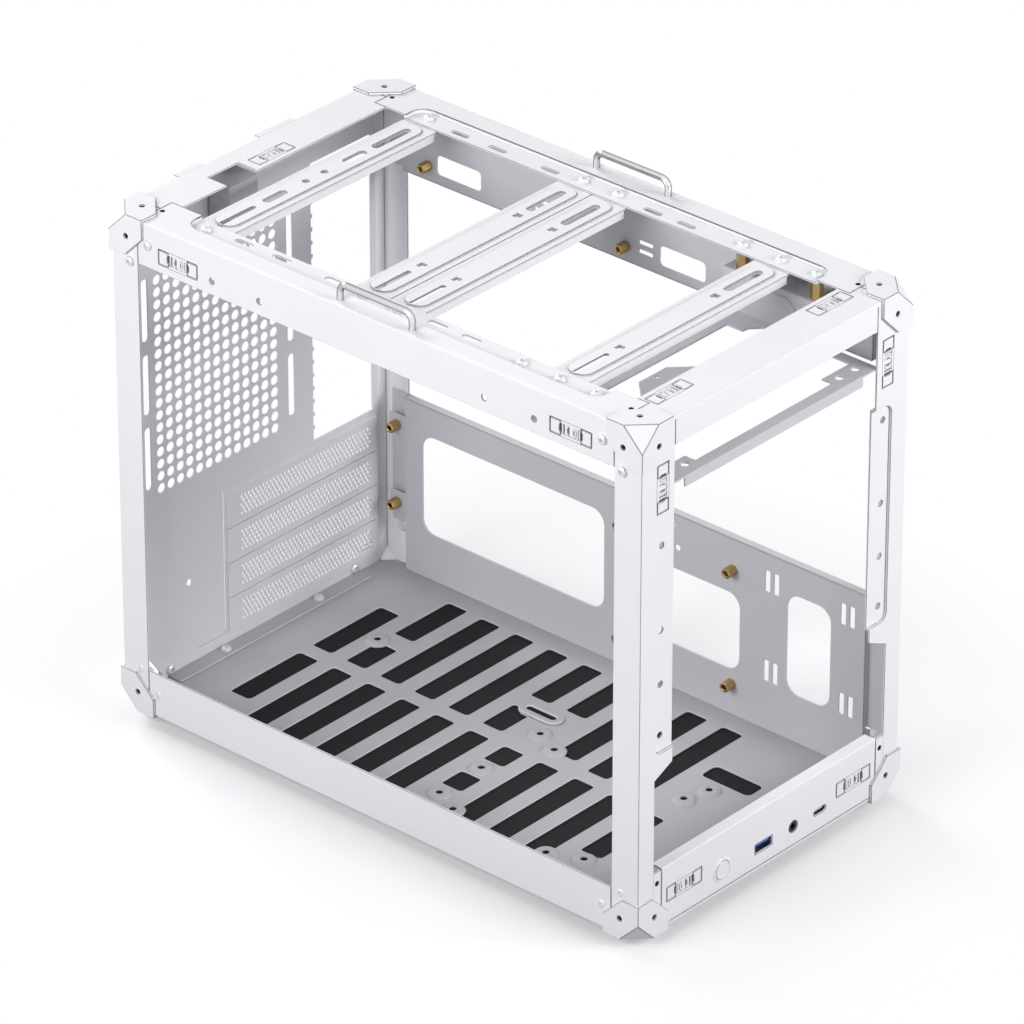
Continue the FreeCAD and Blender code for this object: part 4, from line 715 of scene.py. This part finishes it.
def dress_rear_panel():
    """Show the rear panel, and its foot as a piece of its own with the floor's painted shade."""
    panel = bmesh.new()
    inlet = box_loop(-32.8, -11.7, 245.2, 272.8, 1.0)
    seam = [(-26.3, 93.5), (-25.5, 93.5), (-25.5, 9), (-46.3, 9), (-46.3, 9.8), (-26.3, 9.8)]
    holes = [aperture_loop(), inlet, ring(-52.2, 50.4, 1.8, 16)]
    holes += [box_loop(-15.5, 83.3, level - 6.5, level + 6.5) for level in SLOT_LEVELS]
    holes += [screw_hole(x, PANEL_SCREW_Z) for x in PANEL_SCREWS]
    holes += [seam] + fan_panel_loops()
    outline = [(-73.7, 2.3), (90, 2.3), (90, 279.2), (-84.5, 279.2), (-84.5, 110), (-89, 104), (-89, 28)]
    outline += [(-81.6, 17), (-73.7, 5.7)]
    add_plate(panel, "XZ", PANEL_FACE - SHEET, PANEL_FACE, outline, holes)
    finish_sheet(panel, "rear_panel", "rear_sheet")
    foot = bmesh.new()
    holes = [screw_hole(x, y) for x, y in FLOOR_SCREWS]
    add_plate(foot, "XY", FLOOR_TOP, FLOOR_TOP + SHEET, box_loop(-69, 75, 160.4, 170.4, 1.0), holes)
    add_sheet(foot, "rear_panel_foot", "painted_shade_floor_sheet", ["rear_panel"])


def dress_slot_covers():
    """Show the four covers with their fine staggered perforation."""
    for index, middle in enumerate(SLOT_LEVELS):
        cover = bmesh.new()
        holes = []
        for row in range(-2, 3):
            start = -13.4 + (1.35 if row % 2 else 0.0)
            holes += [ring(start + 2.7 * step, middle + 2.45 * row, 1.08, 10) for step in range(36)]
        outline = box_loop(-24.5, 88.0, middle - 9.86, middle + 9.86)
        add_plate(cover, "XZ", PANEL_FACE - 2 * SHEET, PANEL_FACE - SHEET, outline, holes, edge=0)
        finish_sheet(cover, f"slot_cover_{index + 1}", "rear_sheet")


# Board trays

TRAY_FACE = 93
TRAY_EDGE = 97.2
TRAY_END = 153.7
LOWER_TRAY_TOP = 104.5
UPPER_TRAY_LOW = 235
BOARD_PLACES = (
    (158.7, 86.54), (158.7, 40.82), (135.84, 244.02), (3.76, 20.5), (3.76, 86.54), (3.76, 244.02),
    (-68.63, 20.5), (-68.63, 86.54), (-68.63, 244.02),
)


def add_tray_ends(tray, low, high):
    """Add the ears at a tray's ends, folded outward and then along the posts."""
    for end in (-1, 1):
        add_plate(tray, "XZ", *span(end, TRAY_END - SHEET, TRAY_END), box_loop(93.1, 97.4, low, high))
        ear = box_loop(*span(end, TRAY_END - SHEET, TRAY_END + 12), low, high, 1.0)
        add_plate(tray, "YZ", HALF_WIDTH - 2 * SHEET, HALF_WIDTH - SHEET, ear)


def stud_loops(low, high):
    """Return the holes for the board's standoffs between two heights."""
    return [screw_hole(y, z) for y, z in BOARD_PLACES if low < z < high]


def dress_lower_tray():
    tray = bmesh.new()
    outline = [(-TRAY_END, FLOOR_TOP), (TRAY_END, FLOOR_TOP)]
    for level in (40.82, 86.54):
        outline += [(TRAY_END, level - 6), (163.2, level - 6), (164.2, level - 5)]
        outline += [(164.2, level + 5), (163.2, level + 6), (TRAY_END, level + 6)]
    outline += [(TRAY_END, 104.3), (-TRAY_END, 104.3)]
    holes = [
        box_loop(17.2, 141.2, 29.6, 87.0, 8.0),
        box_loop(-73.0, -2.0, 28.5, 72.5, 8.0),
        box_loop(-131.8, -103.9, 29.7, 86.8, 8.0),
    ]
    for middle in (-90.8, -96.5, -139.6, -145.3):
        for low, high in ((82.0, 94.0), (30.4, 42.4)):
            holes.append(box_loop(middle - 1.5, middle + 1.5, low, high, 0.4))
    holes.append(ring(-31.8, 85.0, 1.7, 16))
    holes += stud_loops(0, LOWER_TRAY_TOP)
    add_plate(tray, "YZ", TRAY_FACE, TRAY_FACE + SHEET, outline, holes)
    top = box_loop(TRAY_FACE, TRAY_EDGE, -TRAY_END, TRAY_END)
    add_plate(tray, "XY", LOWER_TRAY_TOP - SHEET, LOWER_TRAY_TOP, top)
    add_tray_ends(tray, 27.0, LOWER_TRAY_TOP)
    finish_sheet(tray, "tray_lower", "inner_sheet")


def dress_upper_tray():
    tray = bmesh.new()
    holes = [box_loop(100.6, 130.2, 240.6, 251.7, 2.5), box_loop(-47.6, -18.2, 240.6, 251.7, 2.5)]
    for middle in (60.0, -9.0):
        for level in (243.9, 248.9):
            holes.append(box_loop(middle - 4.4, middle + 4.4, level - 1.1, level + 1.1, 0.4))
    holes += stud_loops(UPPER_TRAY_LOW, 280)
    wall = box_loop(-TRAY_END, TRAY_END, UPPER_TRAY_LOW + 0.2, 279.5)
    add_plate(tray, "YZ", TRAY_FACE, TRAY_FACE + SHEET, wall, holes)
    foot = box_loop(TRAY_FACE, TRAY_EDGE, -TRAY_END, TRAY_END)
    add_plate(tray, "XY", UPPER_TRAY_LOW, UPPER_TRAY_LOW + SHEET, foot)
    add_tray_ends(tray, UPPER_TRAY_LOW, 254.6)
    finish_sheet(tray, "tray_upper", "inner_sheet")


# Power supply bracket

SUPPLY_LEVEL = 243
SUPPLY_HALF = 78
SUPPLY_FRONT = -170.5
SUPPLY_REAR = -72
ARM_FRONT = -138.4
ARM_TOP = 265.5


def supply_loops():
    """Return the opening over the supply's end face, the strip in front of it and the bolt holes."""
    rear = [(63, -87), (63, -97), (67, -97.5), (71.5, -102), (71.5, -125)]
    rear += [(20, -125), (20, -103.3), (10, -93.3)]
    front = [(71.5, -140), (71.5, -157), (50.5, -157), (50.5, -163.5)]
    loops = [mirrored(rear), mirrored(front), ring(0, -96.7, 1.2, 12)]
    loops += [ring(x, -162.7, 2.0, 20) for x in (-69, -57, 57, 69)]
    return loops


def octagon(y, z, long, tall, cut):
    right = [(y + long - cut, z - tall), (y + long, z - tall + cut)]
    right += [(y + long, z + tall - cut), (y + long - cut, z + tall)]
    left = [(y - long + cut, z + tall), (y - long, z + tall - cut)]
    left += [(y - long, z - tall + cut), (y - long + cut, z - tall)]
    return right + left


def dress_supply_bracket():
    """Show the bracket's plate with its front lip, and the arms that hang it from the ledges."""
    bracket = bmesh.new()
    plate = box_loop(-SUPPLY_HALF, SUPPLY_HALF, SUPPLY_FRONT, SUPPLY_REAR, 1.0)
    add_plate(bracket, "XY", SUPPLY_LEVEL, SUPPLY_LEVEL + SHEET, plate, supply_loops())
    lip = box_loop(-66, 66, 238, 243.5, 1.0)
    add_plate(bracket, "XZ", SUPPLY_FRONT, SUPPLY_FRONT + SHEET, lip)
    for side in (-1, 1):
        arm = box_loop(ARM_FRONT, SUPPLY_REAR, 243.2, 265.3)
        add_plate(bracket, "YZ", *span(side, SUPPLY_HALF - SHEET, SUPPLY_HALF), arm)
        add_plate(bracket, "YZ", *span(side, 76.4, 77.1), octagon(-105, 254.5, 13, 7.5, 4.5), edge=0.3)
        holes = [screw_hole(side * LEDGE_SCREW_X, y) for y in SUPPLY_SCREWS]
        top = box_loop(*span(side, 77.2, 92), ARM_FRONT, SUPPLY_REAR)
        add_plate(bracket, "XY", ARM_TOP - SHEET, ARM_TOP, top, holes)
    finish_sheet(bracket, "psu_bracket", "inner_sheet")


# Fittings

CLIP_TAB = [
    (12.5, -3.5), (12.5, 3.5), (6.9, 3.5), (6.6, 2.4), (7.4, 1.6), (7.4, -1.6), (6.6, -2.4), (6.9, -3.5),
]
CLIP_DEPTH = 1.9
HEAD_HEIGHT = 1.9
HEAD_PROFILE = [(2.7, 0.0), (2.7, 0.75), (2.5, 1.25), (2.05, 1.62), (1.4, 1.82), (0.6, HEAD_HEIGHT)]
CORNER_SCREWS = ((160.1, 23.9), (148.2, 12.8))
TAB_HOLE_X = 84.5
TAB_HOLE_Z = 27.4
HANDLE_X = 93.5
HANDLE_FRONT = -22.7
HANDLE_REAR = 24.0
HANDLE_WIRE = 1.8
CAPS_LOW = (-100, -173.1, -1.5)
CAPS_HIGH = (100, 173.1, 282)
SOCKET_INSET = 12
SOCKET_DEPTH = 0.8
DOT_X = 83.4
DOT_Y = 151.7
FOOT_X = 79.5
FOOT_Y = 139.6


def dress_clips():
    """Show the panel sockets: two flush tabs, a sprung ring between ribs, the plate behind, and a dark
    grey layer in front of it as painted shade in the gaps.
    """
    clips = bmesh.new()
    painted_gap_shade = bmesh.new()
    for low, high in islands("panel_clips"):
        place_clip(clips, painted_gap_shade, low / MM - ORIGIN, high / MM - ORIGIN)
    finish_sheet(clips, "panel_clips", "white_plastic")
    add_sheet(painted_gap_shade, "panel_clips_painted_shade", "grey_recess", ["panel_clips"])


def place_clip(clips, painted_gap_shade, low, high):
    """Build one socket inside its solid's box: the thin side of the box faces outward."""
    extent = high - low
    normal = min(range(3), key=lambda axis: extent[axis])
    long_axis = max(range(3), key=lambda axis: extent[axis])
    middle = (low + high) / 2
    plane = {0: "YZ", 1: "XZ", 2: "XY"}[normal]
    first, second = [axis for axis in range(3) if axis != normal]
    outward = 1 if middle[normal] > 0 else -1
    face = high[normal] if outward > 0 else low[normal]

    def put(loop, near=0.0, far=CLIP_DEPTH, sheet=clips, edge=0.15):
        """Add a plate between two depths behind the socket's face."""
        turned = [(v, u) if long_axis == second else (u, v) for u, v in loop]
        points = [(middle[first] + u, middle[second] + v) for u, v in turned]
        levels = sorted((face - outward * near, face - outward * far))
        add_plate(sheet, plane, *levels, points, edge=edge)

    put(box_loop(-14.0, 14.0, -4.9, 4.9, 0.8), 1.2, 2.6)
    # A dark grey layer just behind the face: painted shade seen through the gaps
    put(box_loop(-12.9, 12.9, -4.0, 4.0), 0.8, 1.25, painted_gap_shade, 0)
    put(CLIP_TAB)
    put(flipped(-1, CLIP_TAB))
    put(box_loop(-6.2, 6.2, 2.7, 4.3))
    put(box_loop(-6.2, 6.2, -4.3, -2.7))
    for left, right in ((-4.2, -2.0), (-1.3, 1.3), (2.0, 4.2)):
        put(box_loop(left, right, -2.8, 2.8), 0.45)
    for side in (-1, 1):
        put(box_loop(side * 5.2 - 0.5, side * 5.2 + 0.5, -2.8, 2.8), 0.15)
        put(flipped(side, arc(0, 0, 3.5, -62, 62, 8) + arc(0, 0, 2.3, 62, -62, 8)))


def object_from(bm, name):
    mesh = bpy.data.meshes.new(name)
    bm.to_mesh(mesh)
    bm.free()
    return bpy.data.objects.new(name, mesh)


def cross_tool():
    """Return the crossed bars that cut a screw head's recess, narrower toward their lower ends."""
    cross = bmesh.new()
    for angle in (0.0, math.pi / 2):
        arm = bmesh.ops.create_cube(cross, size=1.0)["verts"]
        for vert in arm:
            reach = 1.55 if vert.co.z > 0 else 0.7
            vert.co = Vector((vert.co.x * 2 * reach, vert.co.y * 0.62, vert.co.z * 1.6 + 1.55))
            vert.co.rotate(Matrix.Rotation(angle, 3, "Z"))
    return object_from(cross, "head_cross")


def screw_head_mesh():
    """Return a pan head with a cross recess, its seat at zero and its axis upward."""
    head = bmesh.new()
    close_rings(head, [[head.verts.new((u, v, height)) for u, v in ring(0, 0, radius, 28)]
                       for radius, height in HEAD_PROFILE])
    body = object_from(head, "head_blank")
    tool = cross_tool()
    for piece in (body, tool):
        bpy.context.scene.collection.objects.link(piece)
    cutter = body.modifiers.new("recess", "BOOLEAN")
    cutter.operation = "DIFFERENCE"
    cutter.object = tool
    cutter.use_self = True
    graph = bpy.context.evaluated_depsgraph_get()
    mesh = bpy.data.meshes.new_from_object(body.evaluated_get(graph))
    for piece in (body, tool):
        bpy.data.objects.remove(piece)
    return mesh


def seat_head(screws, head, top, way):
    """Add a copy of the head with the middle of its top at a place in metres, facing a way."""
    turn = Vector(UP).rotation_difference(way).to_matrix().to_4x4()
    place = Matrix.Translation(top - way * HEAD_HEIGHT * MM) @ turn @ Matrix.Scale(MM, 4)
    # Each cross stands at an angle of its own, which follows from its place
    spin = Matrix.Rotation(top.x * 700 + top.y * 300, 4, "Z")
    copy = head.copy()
    copy.transform(place @ spin)
    screws.from_mesh(copy)
    bpy.data.meshes.remove(copy)


def dress_screws(node, head):
    """Set a head on each screw of a node: the axis is the side of its box that differs from the others."""
    screws = bmesh.new()
    for low, high in islands(node):
        extent = (high - low) / MM
        middle = (low + high) / 2
        axis = max(range(3), key=lambda a: min(abs(extent[a] - extent[b]) for b in range(3) if b != a))
        outward = -1 if axis == 1 or middle[axis] < 0 else 1
        way = Vector([outward if a == axis else 0 for a in range(3)])
        seat_head(screws, head, middle + way * (extent[axis] * MM / 2), way)
    finish_sheet(screws, node, "screw_steel")


def dress_corner_screws(head):
    """Show the flush screws that hold the walls and posts together low on each side."""
    screws = bmesh.new()
    for side in (-1, 1):
        for end in (-1, 1):
            for y, z in CORNER_SCREWS:
                seat_head(screws, head, at(side * (HALF_WIDTH + 0.5), end * y, z), Vector((side, 0, 0)))
    add_sheet(screws, "corner_screws", "screw_steel")


def dress_post_feet():
    """Show the tabs low on the front posts that close the gap beside the front flange."""
    tabs = bmesh.new()
    for side in (-1, 1):
        tab = box_loop(*span(side, 81.5, 87.4), 1.0, 34.0)
        hole = ring(side * TAB_HOLE_X, TAB_HOLE_Z, 1.3, 16)
        add_plate(tabs, "XZ", -HALF_DEPTH, SHEET - HALF_DEPTH, tab, [hole])
    add_sheet(tabs, "post_feet", "white_sheet")


def dress_standoffs():
    boards = bmesh.new()
    for y, z in BOARD_PLACES:
        add_plate(boards, "YZ", 86.5, TRAY_FACE, ring(y, z, 2.9, 6), [ring(y, z, 1.35, 20)], 0.35)
    finish_sheet(boards, "board_standoffs", "brass")
    pillars = bmesh.new()
    for x in (-LEDGE_SCREW_X, LEDGE_SCREW_X):
        for y in SUPPLY_SCREWS:
            bore = ring(x, y, SCREW_HOLE, 20)
            add_plate(pillars, "XY", ARM_TOP, LEDGE_TOP - SHEET, ring(x, y, 3.4, 6), [bore], 0.35)
    finish_sheet(pillars, "psu_standoffs", "brass")


def handle_line():
    """Return the middle line of a wire bow, from its rear end to its front end."""
    low, high, bend = 280.4, 289.2, 4.5
    line = [(HANDLE_REAR, low)]
    line += arc(HANDLE_REAR - bend, high - bend, bend, 0, 90, 8)
    line += arc(HANDLE_FRONT + bend, high - bend, bend, 90, 180, 8)
    return line + [(HANDLE_FRONT, low)]


def wire_mesh(name, points):
    """Return a round wire along points given in metres."""
    curve = bpy.data.curves.new(name, "CURVE")
    curve.dimensions = "3D"
    curve.bevel_depth = HANDLE_WIRE * MM
    curve.bevel_resolution = 5
    curve.use_fill_caps = True
    spline = curve.splines.new("POLY")
    spline.points.add(len(points) - 1)
    for point, place in zip(spline.points, points):
        point.co = (*place, 1)
    holder = bpy.data.objects.new(name, curve)
    mesh = bpy.data.meshes.new_from_object(holder)
    bpy.data.objects.remove(holder)
    return mesh


def dress_handles():
    for node, x in (("handle_left", -HANDLE_X), ("handle_right", HANDLE_X)):
        bow = bmesh.new()
        bow.from_mesh(wire_mesh(node, [at(x, y, z) for y, z in handle_line()]))
        finish_sheet(bow, node, "chrome")


def cap_sockets(corner):
    """Return the place and way of the three socket screws in a cap, given by the signs of its corner."""
    sockets = []
    for axis in range(3):
        place = []
        for a, sign in enumerate(corner):
            outer = CAPS_HIGH[a] if sign > 0 else CAPS_LOW[a]
            place.append(outer - sign * (SOCKET_DEPTH if a == axis else SOCKET_INSET))
        sockets.append((place, [sign if a == axis else 0 for a, sign in enumerate(corner)]))
    return sockets


def dress_painted_hole_shades():
    """Show near black discs as painted shade in the caps' sockets, the small holes and the floor's bores,
    where they also stand for the black filter beneath.
    """
    dots = bmesh.new()
    for x in (-1, 1):
        for y in (-1, 1):
            for z in (-1, 1):
                for place, way in cap_sockets((x, y, z)):
                    add_turned(dots, [(1.28, -0.6), (1.28, 0.0)], place, way, 16)
            add_turned(dots, [(1.25, -0.3), (1.25, 0.12)], (x * DOT_X, y * DOT_Y, HEIGHT), UP, 16)
        hole = (x * TAB_HOLE_X, SHEET - HALF_DEPTH, TAB_HOLE_Z)
        add_turned(dots, [(1.5, 0.0), (1.5, 0.7)], hole, FORWARD, 16)
    for x, y in BOSSES:
        add_turned(dots, [(1.95, 1.5), (1.95, 2.9)], (x, y, 0), UP, 20)
    add_plate(dots, "XY", 1.5, 2.8, slot_loop(27.3, 30.7, -6.7, 12.2), edge=0)
    add_sheet(dots, "painted_hole_shades", "black_recess")


def dress_feet():
    """Show each foot as a rubber ring round a closed bottom."""
    feet = bmesh.new()
    profile = [(4.0, -4.0), (4.0, -6.6), (4.4, -7.0), (8.6, -7.0), (9.4, -6.7), (9.8, -6.0), (10.0, 0.4)]
    profile += [(9.7, 0.9), (8.0, 1.3), (4.0, 1.3)]
    for x in (-FOOT_X, FOOT_X):
        for y in (-FOOT_Y, FOOT_Y):
            add_hollow_turned(feet, profile, (x, y, 0), UP, 40)
            add_turned(feet, [(4.1, -4.1), (4.1, -3.6)], (x, y, 0), UP, 24)
    finish_sheet(feet, "feet", "black_rubber")


def dress_button():
    """Show the button, a cap with a stem, and the fixed ring round it."""
    place = (BUTTON_X, -HALF_DEPTH, PORT_Z)
    button = bmesh.new()
    cap = [(5.9, -2.4), (5.9, -1.2), (4.95, -1.1), (4.95, 0.35)]
    cap += [(4.75, 0.55), (4.3, 0.6), (3.6, 0.52), (1.0, 0.46)]
    add_turned(button, cap, place, FORWARD, 48)
    add_turned(button, [(1.8, -5.0), (1.8, -2.0)], place, FORWARD, 16)
    add_sheet(button, "power_button_finished", "white_plastic", ["power_button"], "power_button")
    rim = bmesh.new()
    band = [(5.3, 0.0), (5.3, 0.3), (5.5, 0.4), (6.5, 0.36), (6.9, 0.05), (6.9, 0.0)]
    add_hollow_turned(rim, band, place, FORWARD, 48)
    finish_sheet(rim, "button_ring", "white_plastic")


# The whole case

POSTS = ("post_front_left", "post_front_right", "post_rear_left", "post_rear_right")
SMALL_NODES = {
    "power_switch": "black_plastic", "io_board": "board", "usb_a_shell": "port_steel",
    "usb_a_tongue": "blue_plastic", "usb_c_port": "port_steel", "audio_jack": "black_plastic",
    "ac_inlet": "grey_plastic", "inlet_pins": "port_steel",
}


def dress_caps():
    for level in ("top", "bottom"):
        for end in ("front", "rear"):
            for side in ("left", "right"):
                dress(f"cap_{level}_{end}_{side}", "white_plastic", width=0.35)


def dress_case():
    dress_pan_walls()
    dress_pan_floor()
    dress_side_rail("rail_left", -1)
    dress_side_rail("rail_right", 1)
    dress_rear_panel()
    dress_slot_covers()
    dress_lower_tray()
    dress_upper_tray()
    dress_supply_bracket()
    dress_front_rail()
    dress_rear_rail()
    for node, y in FAN_BRACKETS.items():
        dress_fan_bracket(node, y, inner_slots=node == "fan_bracket_rear")
    for node in POSTS:
        dress(node)
    dress("io_bracket", "inner_sheet")
    for node, finish in SMALL_NODES.items():
        dress(node, finish, width=0.12, lined=False)
    dress_caps()


def dress_fittings():
    dress_clips()
    head = screw_head_mesh()
    for node in ("bracket_screws", "frame_screws", "panel_screws"):
        dress_screws(node, head)
    dress_corner_screws(head)
    dress_post_feet()
    dress_standoffs()
    dress_handles()
    dress_painted_hole_shades()
    dress_feet()
    dress_button()
    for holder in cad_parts["dust_filter"].material_slots:
        holder.material = MATERIALS["black_mesh"]


# Studio

def make_camera():
    yaw = math.radians(CAMERA_YAW)
    pitch = math.radians(CAMERA_PITCH)
    forward = Vector((math.sin(yaw) * math.cos(pitch), math.cos(yaw) * math.cos(pitch), -math.sin(pitch)))
    data = bpy.data.cameras.new("camera")
    data.sensor_fit = "HORIZONTAL"
    data.sensor_width = 36.0
    data.lens = CAMERA_LENS
    data.clip_start = 0.1
    data.clip_end = 50.0
    camera = bpy.data.objects.new("camera", data)
    camera.location = CAMERA_PLACE * MM
    camera.rotation_mode = "QUATERNION"
    camera.rotation_quaternion = forward.to_track_quat("-Z", "Y")
    bpy.context.scene.collection.objects.link(camera)
    bpy.context.scene.camera = camera


def add_lamp(name, place, target, width, height, power):
    """Add a white rectangular lamp that faces a target."""
    data = bpy.data.lights.new(name, "AREA")
    data.shape = "RECTANGLE"
    data.size = width
    data.size_y = height
    data.energy = power
    lamp = bpy.data.objects.new(name, data)
    lamp.location = place
    lamp.rotation_mode = "QUATERNION"
    lamp.rotation_quaternion = (Vector(target) - Vector(place)).to_track_quat("-Z", "Y")
    bpy.context.scene.collection.objects.link(lamp)


def make_lamps():
    middle = (0.0, 0.0, 0.15)
    add_lamp("back_lamp", (0.3, 2.2, 1.5), middle, 1.6, 1.0, 48.0)
    add_lamp("left_lamp", (-0.95, 0.05, 0.65), middle, 0.7, 0.5, 8.3)
    add_lamp("front_lamp", (0.3, -1.15, 0.65), middle, 0.6, 0.5, 11.4)


def white_rays(tree):
    """Return a value that is 1 for what the camera, gloss or glass sees directly."""
    path = add_node(tree, "LightPath")
    seen = path.outputs["Is Camera Ray"]
    for kind in ("Is Glossy Ray", "Is Transmission Ray"):
        either = add_node(tree, "Math")
        either.operation = "MAXIMUM"
        tree.links.new(seen, either.inputs[0])
        tree.links.new(path.outputs[kind], either.inputs[1])
        seen = either.outputs["Value"]
    return seen


def blend(tree, first, second, share=None):
    """Add two shader nodes, or mix them by a share from 0 for the first to 1 for the second."""
    mix = add_node(tree, "AddShader" if share is None else "MixShader")
    sources = [first.outputs[0], second.outputs[0]]
    if share is not None:
        sources.insert(0, share)
    for source, target in zip(sources, mix.inputs):
        tree.links.new(source, target)
    return mix


def make_world():
    """Set a dim sky that lights the case and that the camera sees as white."""
    world = bpy.data.worlds.new("studio")
    world.use_nodes = True
    tree = world.node_tree
    tree.nodes.clear()
    light = add_node(tree, "Background", Color=(0.93, 0.94, 1.0, 1.0), Strength=0.21)
    white = add_node(tree, "Background", Color=(1.0, 1.0, 1.0, 1.0))
    sky = blend(tree, light, white, white_rays(tree))
    tree.links.new(sky.outputs["Shader"], add_node(tree, "OutputWorld").inputs["Surface"])
    bpy.context.scene.world = world


def painted_shadow_fade(tree):
    """Return a value that rises from 0 near the case to 1 where the floor is plain white; nearer in, the
    floor is greyer, a painted shadow round the case.
    """
    place = add_node(tree, "TexCoord")
    away = add_node(tree, "VectorMath")
    away.operation = "LENGTH"
    reach = add_node(tree, "MapRange", From_Min=0.17, From_Max=0.31)
    tree.links.new(place.outputs["Object"], away.inputs[0])
    tree.links.new(away.outputs["Value"], reach.inputs["Value"])
    return reach.outputs["Result"]


def floor_material():
    """A floor that bounces little light, and that the camera sees as white but for a soft shadow: the
    lamps' shadow, with a painted shadow round the case that fades outward.
    """
    material = bpy.data.materials.new("pale_floor")
    material.use_nodes = True
    tree = material.node_tree
    tree.nodes.clear()
    plain = add_node(tree, "BsdfDiffuse", Color=(0.32, 0.32, 0.34, 1.0))
    shaded = add_node(tree, "BsdfDiffuse", Color=(0.66, 0.66, 0.67, 1.0))
    # Painted shadow: near the case the floor shows grey even where lit, fading to white further out
    near = blend(tree, shaded, add_node(tree, "Emission", Strength=0.24))
    seen = blend(tree, near, add_node(tree, "Emission", Strength=1.0), painted_shadow_fade(tree))
    floor = blend(tree, plain, seen, white_rays(tree))
    tree.links.new(floor.outputs["Shader"], add_node(tree, "OutputMaterial").inputs["Surface"])
    return material


def make_floor():
    """A wide floor under the case."""
    reach = 6.0
    corners = [(-reach, -reach, 0), (reach, -reach, 0), (reach, reach, 0), (-reach, reach, 0)]
    mesh = bpy.data.meshes.new("floor")
    mesh.from_pydata(corners, [], [(0, 1, 2, 3)])
    mesh.materials.append(floor_material())
    floor = bpy.data.objects.new("floor", mesh)
    bpy.context.scene.collection.objects.link(floor)


bpy.context.scene.view_settings.view_transform = "Standard"
make_camera()
make_world()
make_floor()
make_lamps()
dress_case()
dress_fittings()
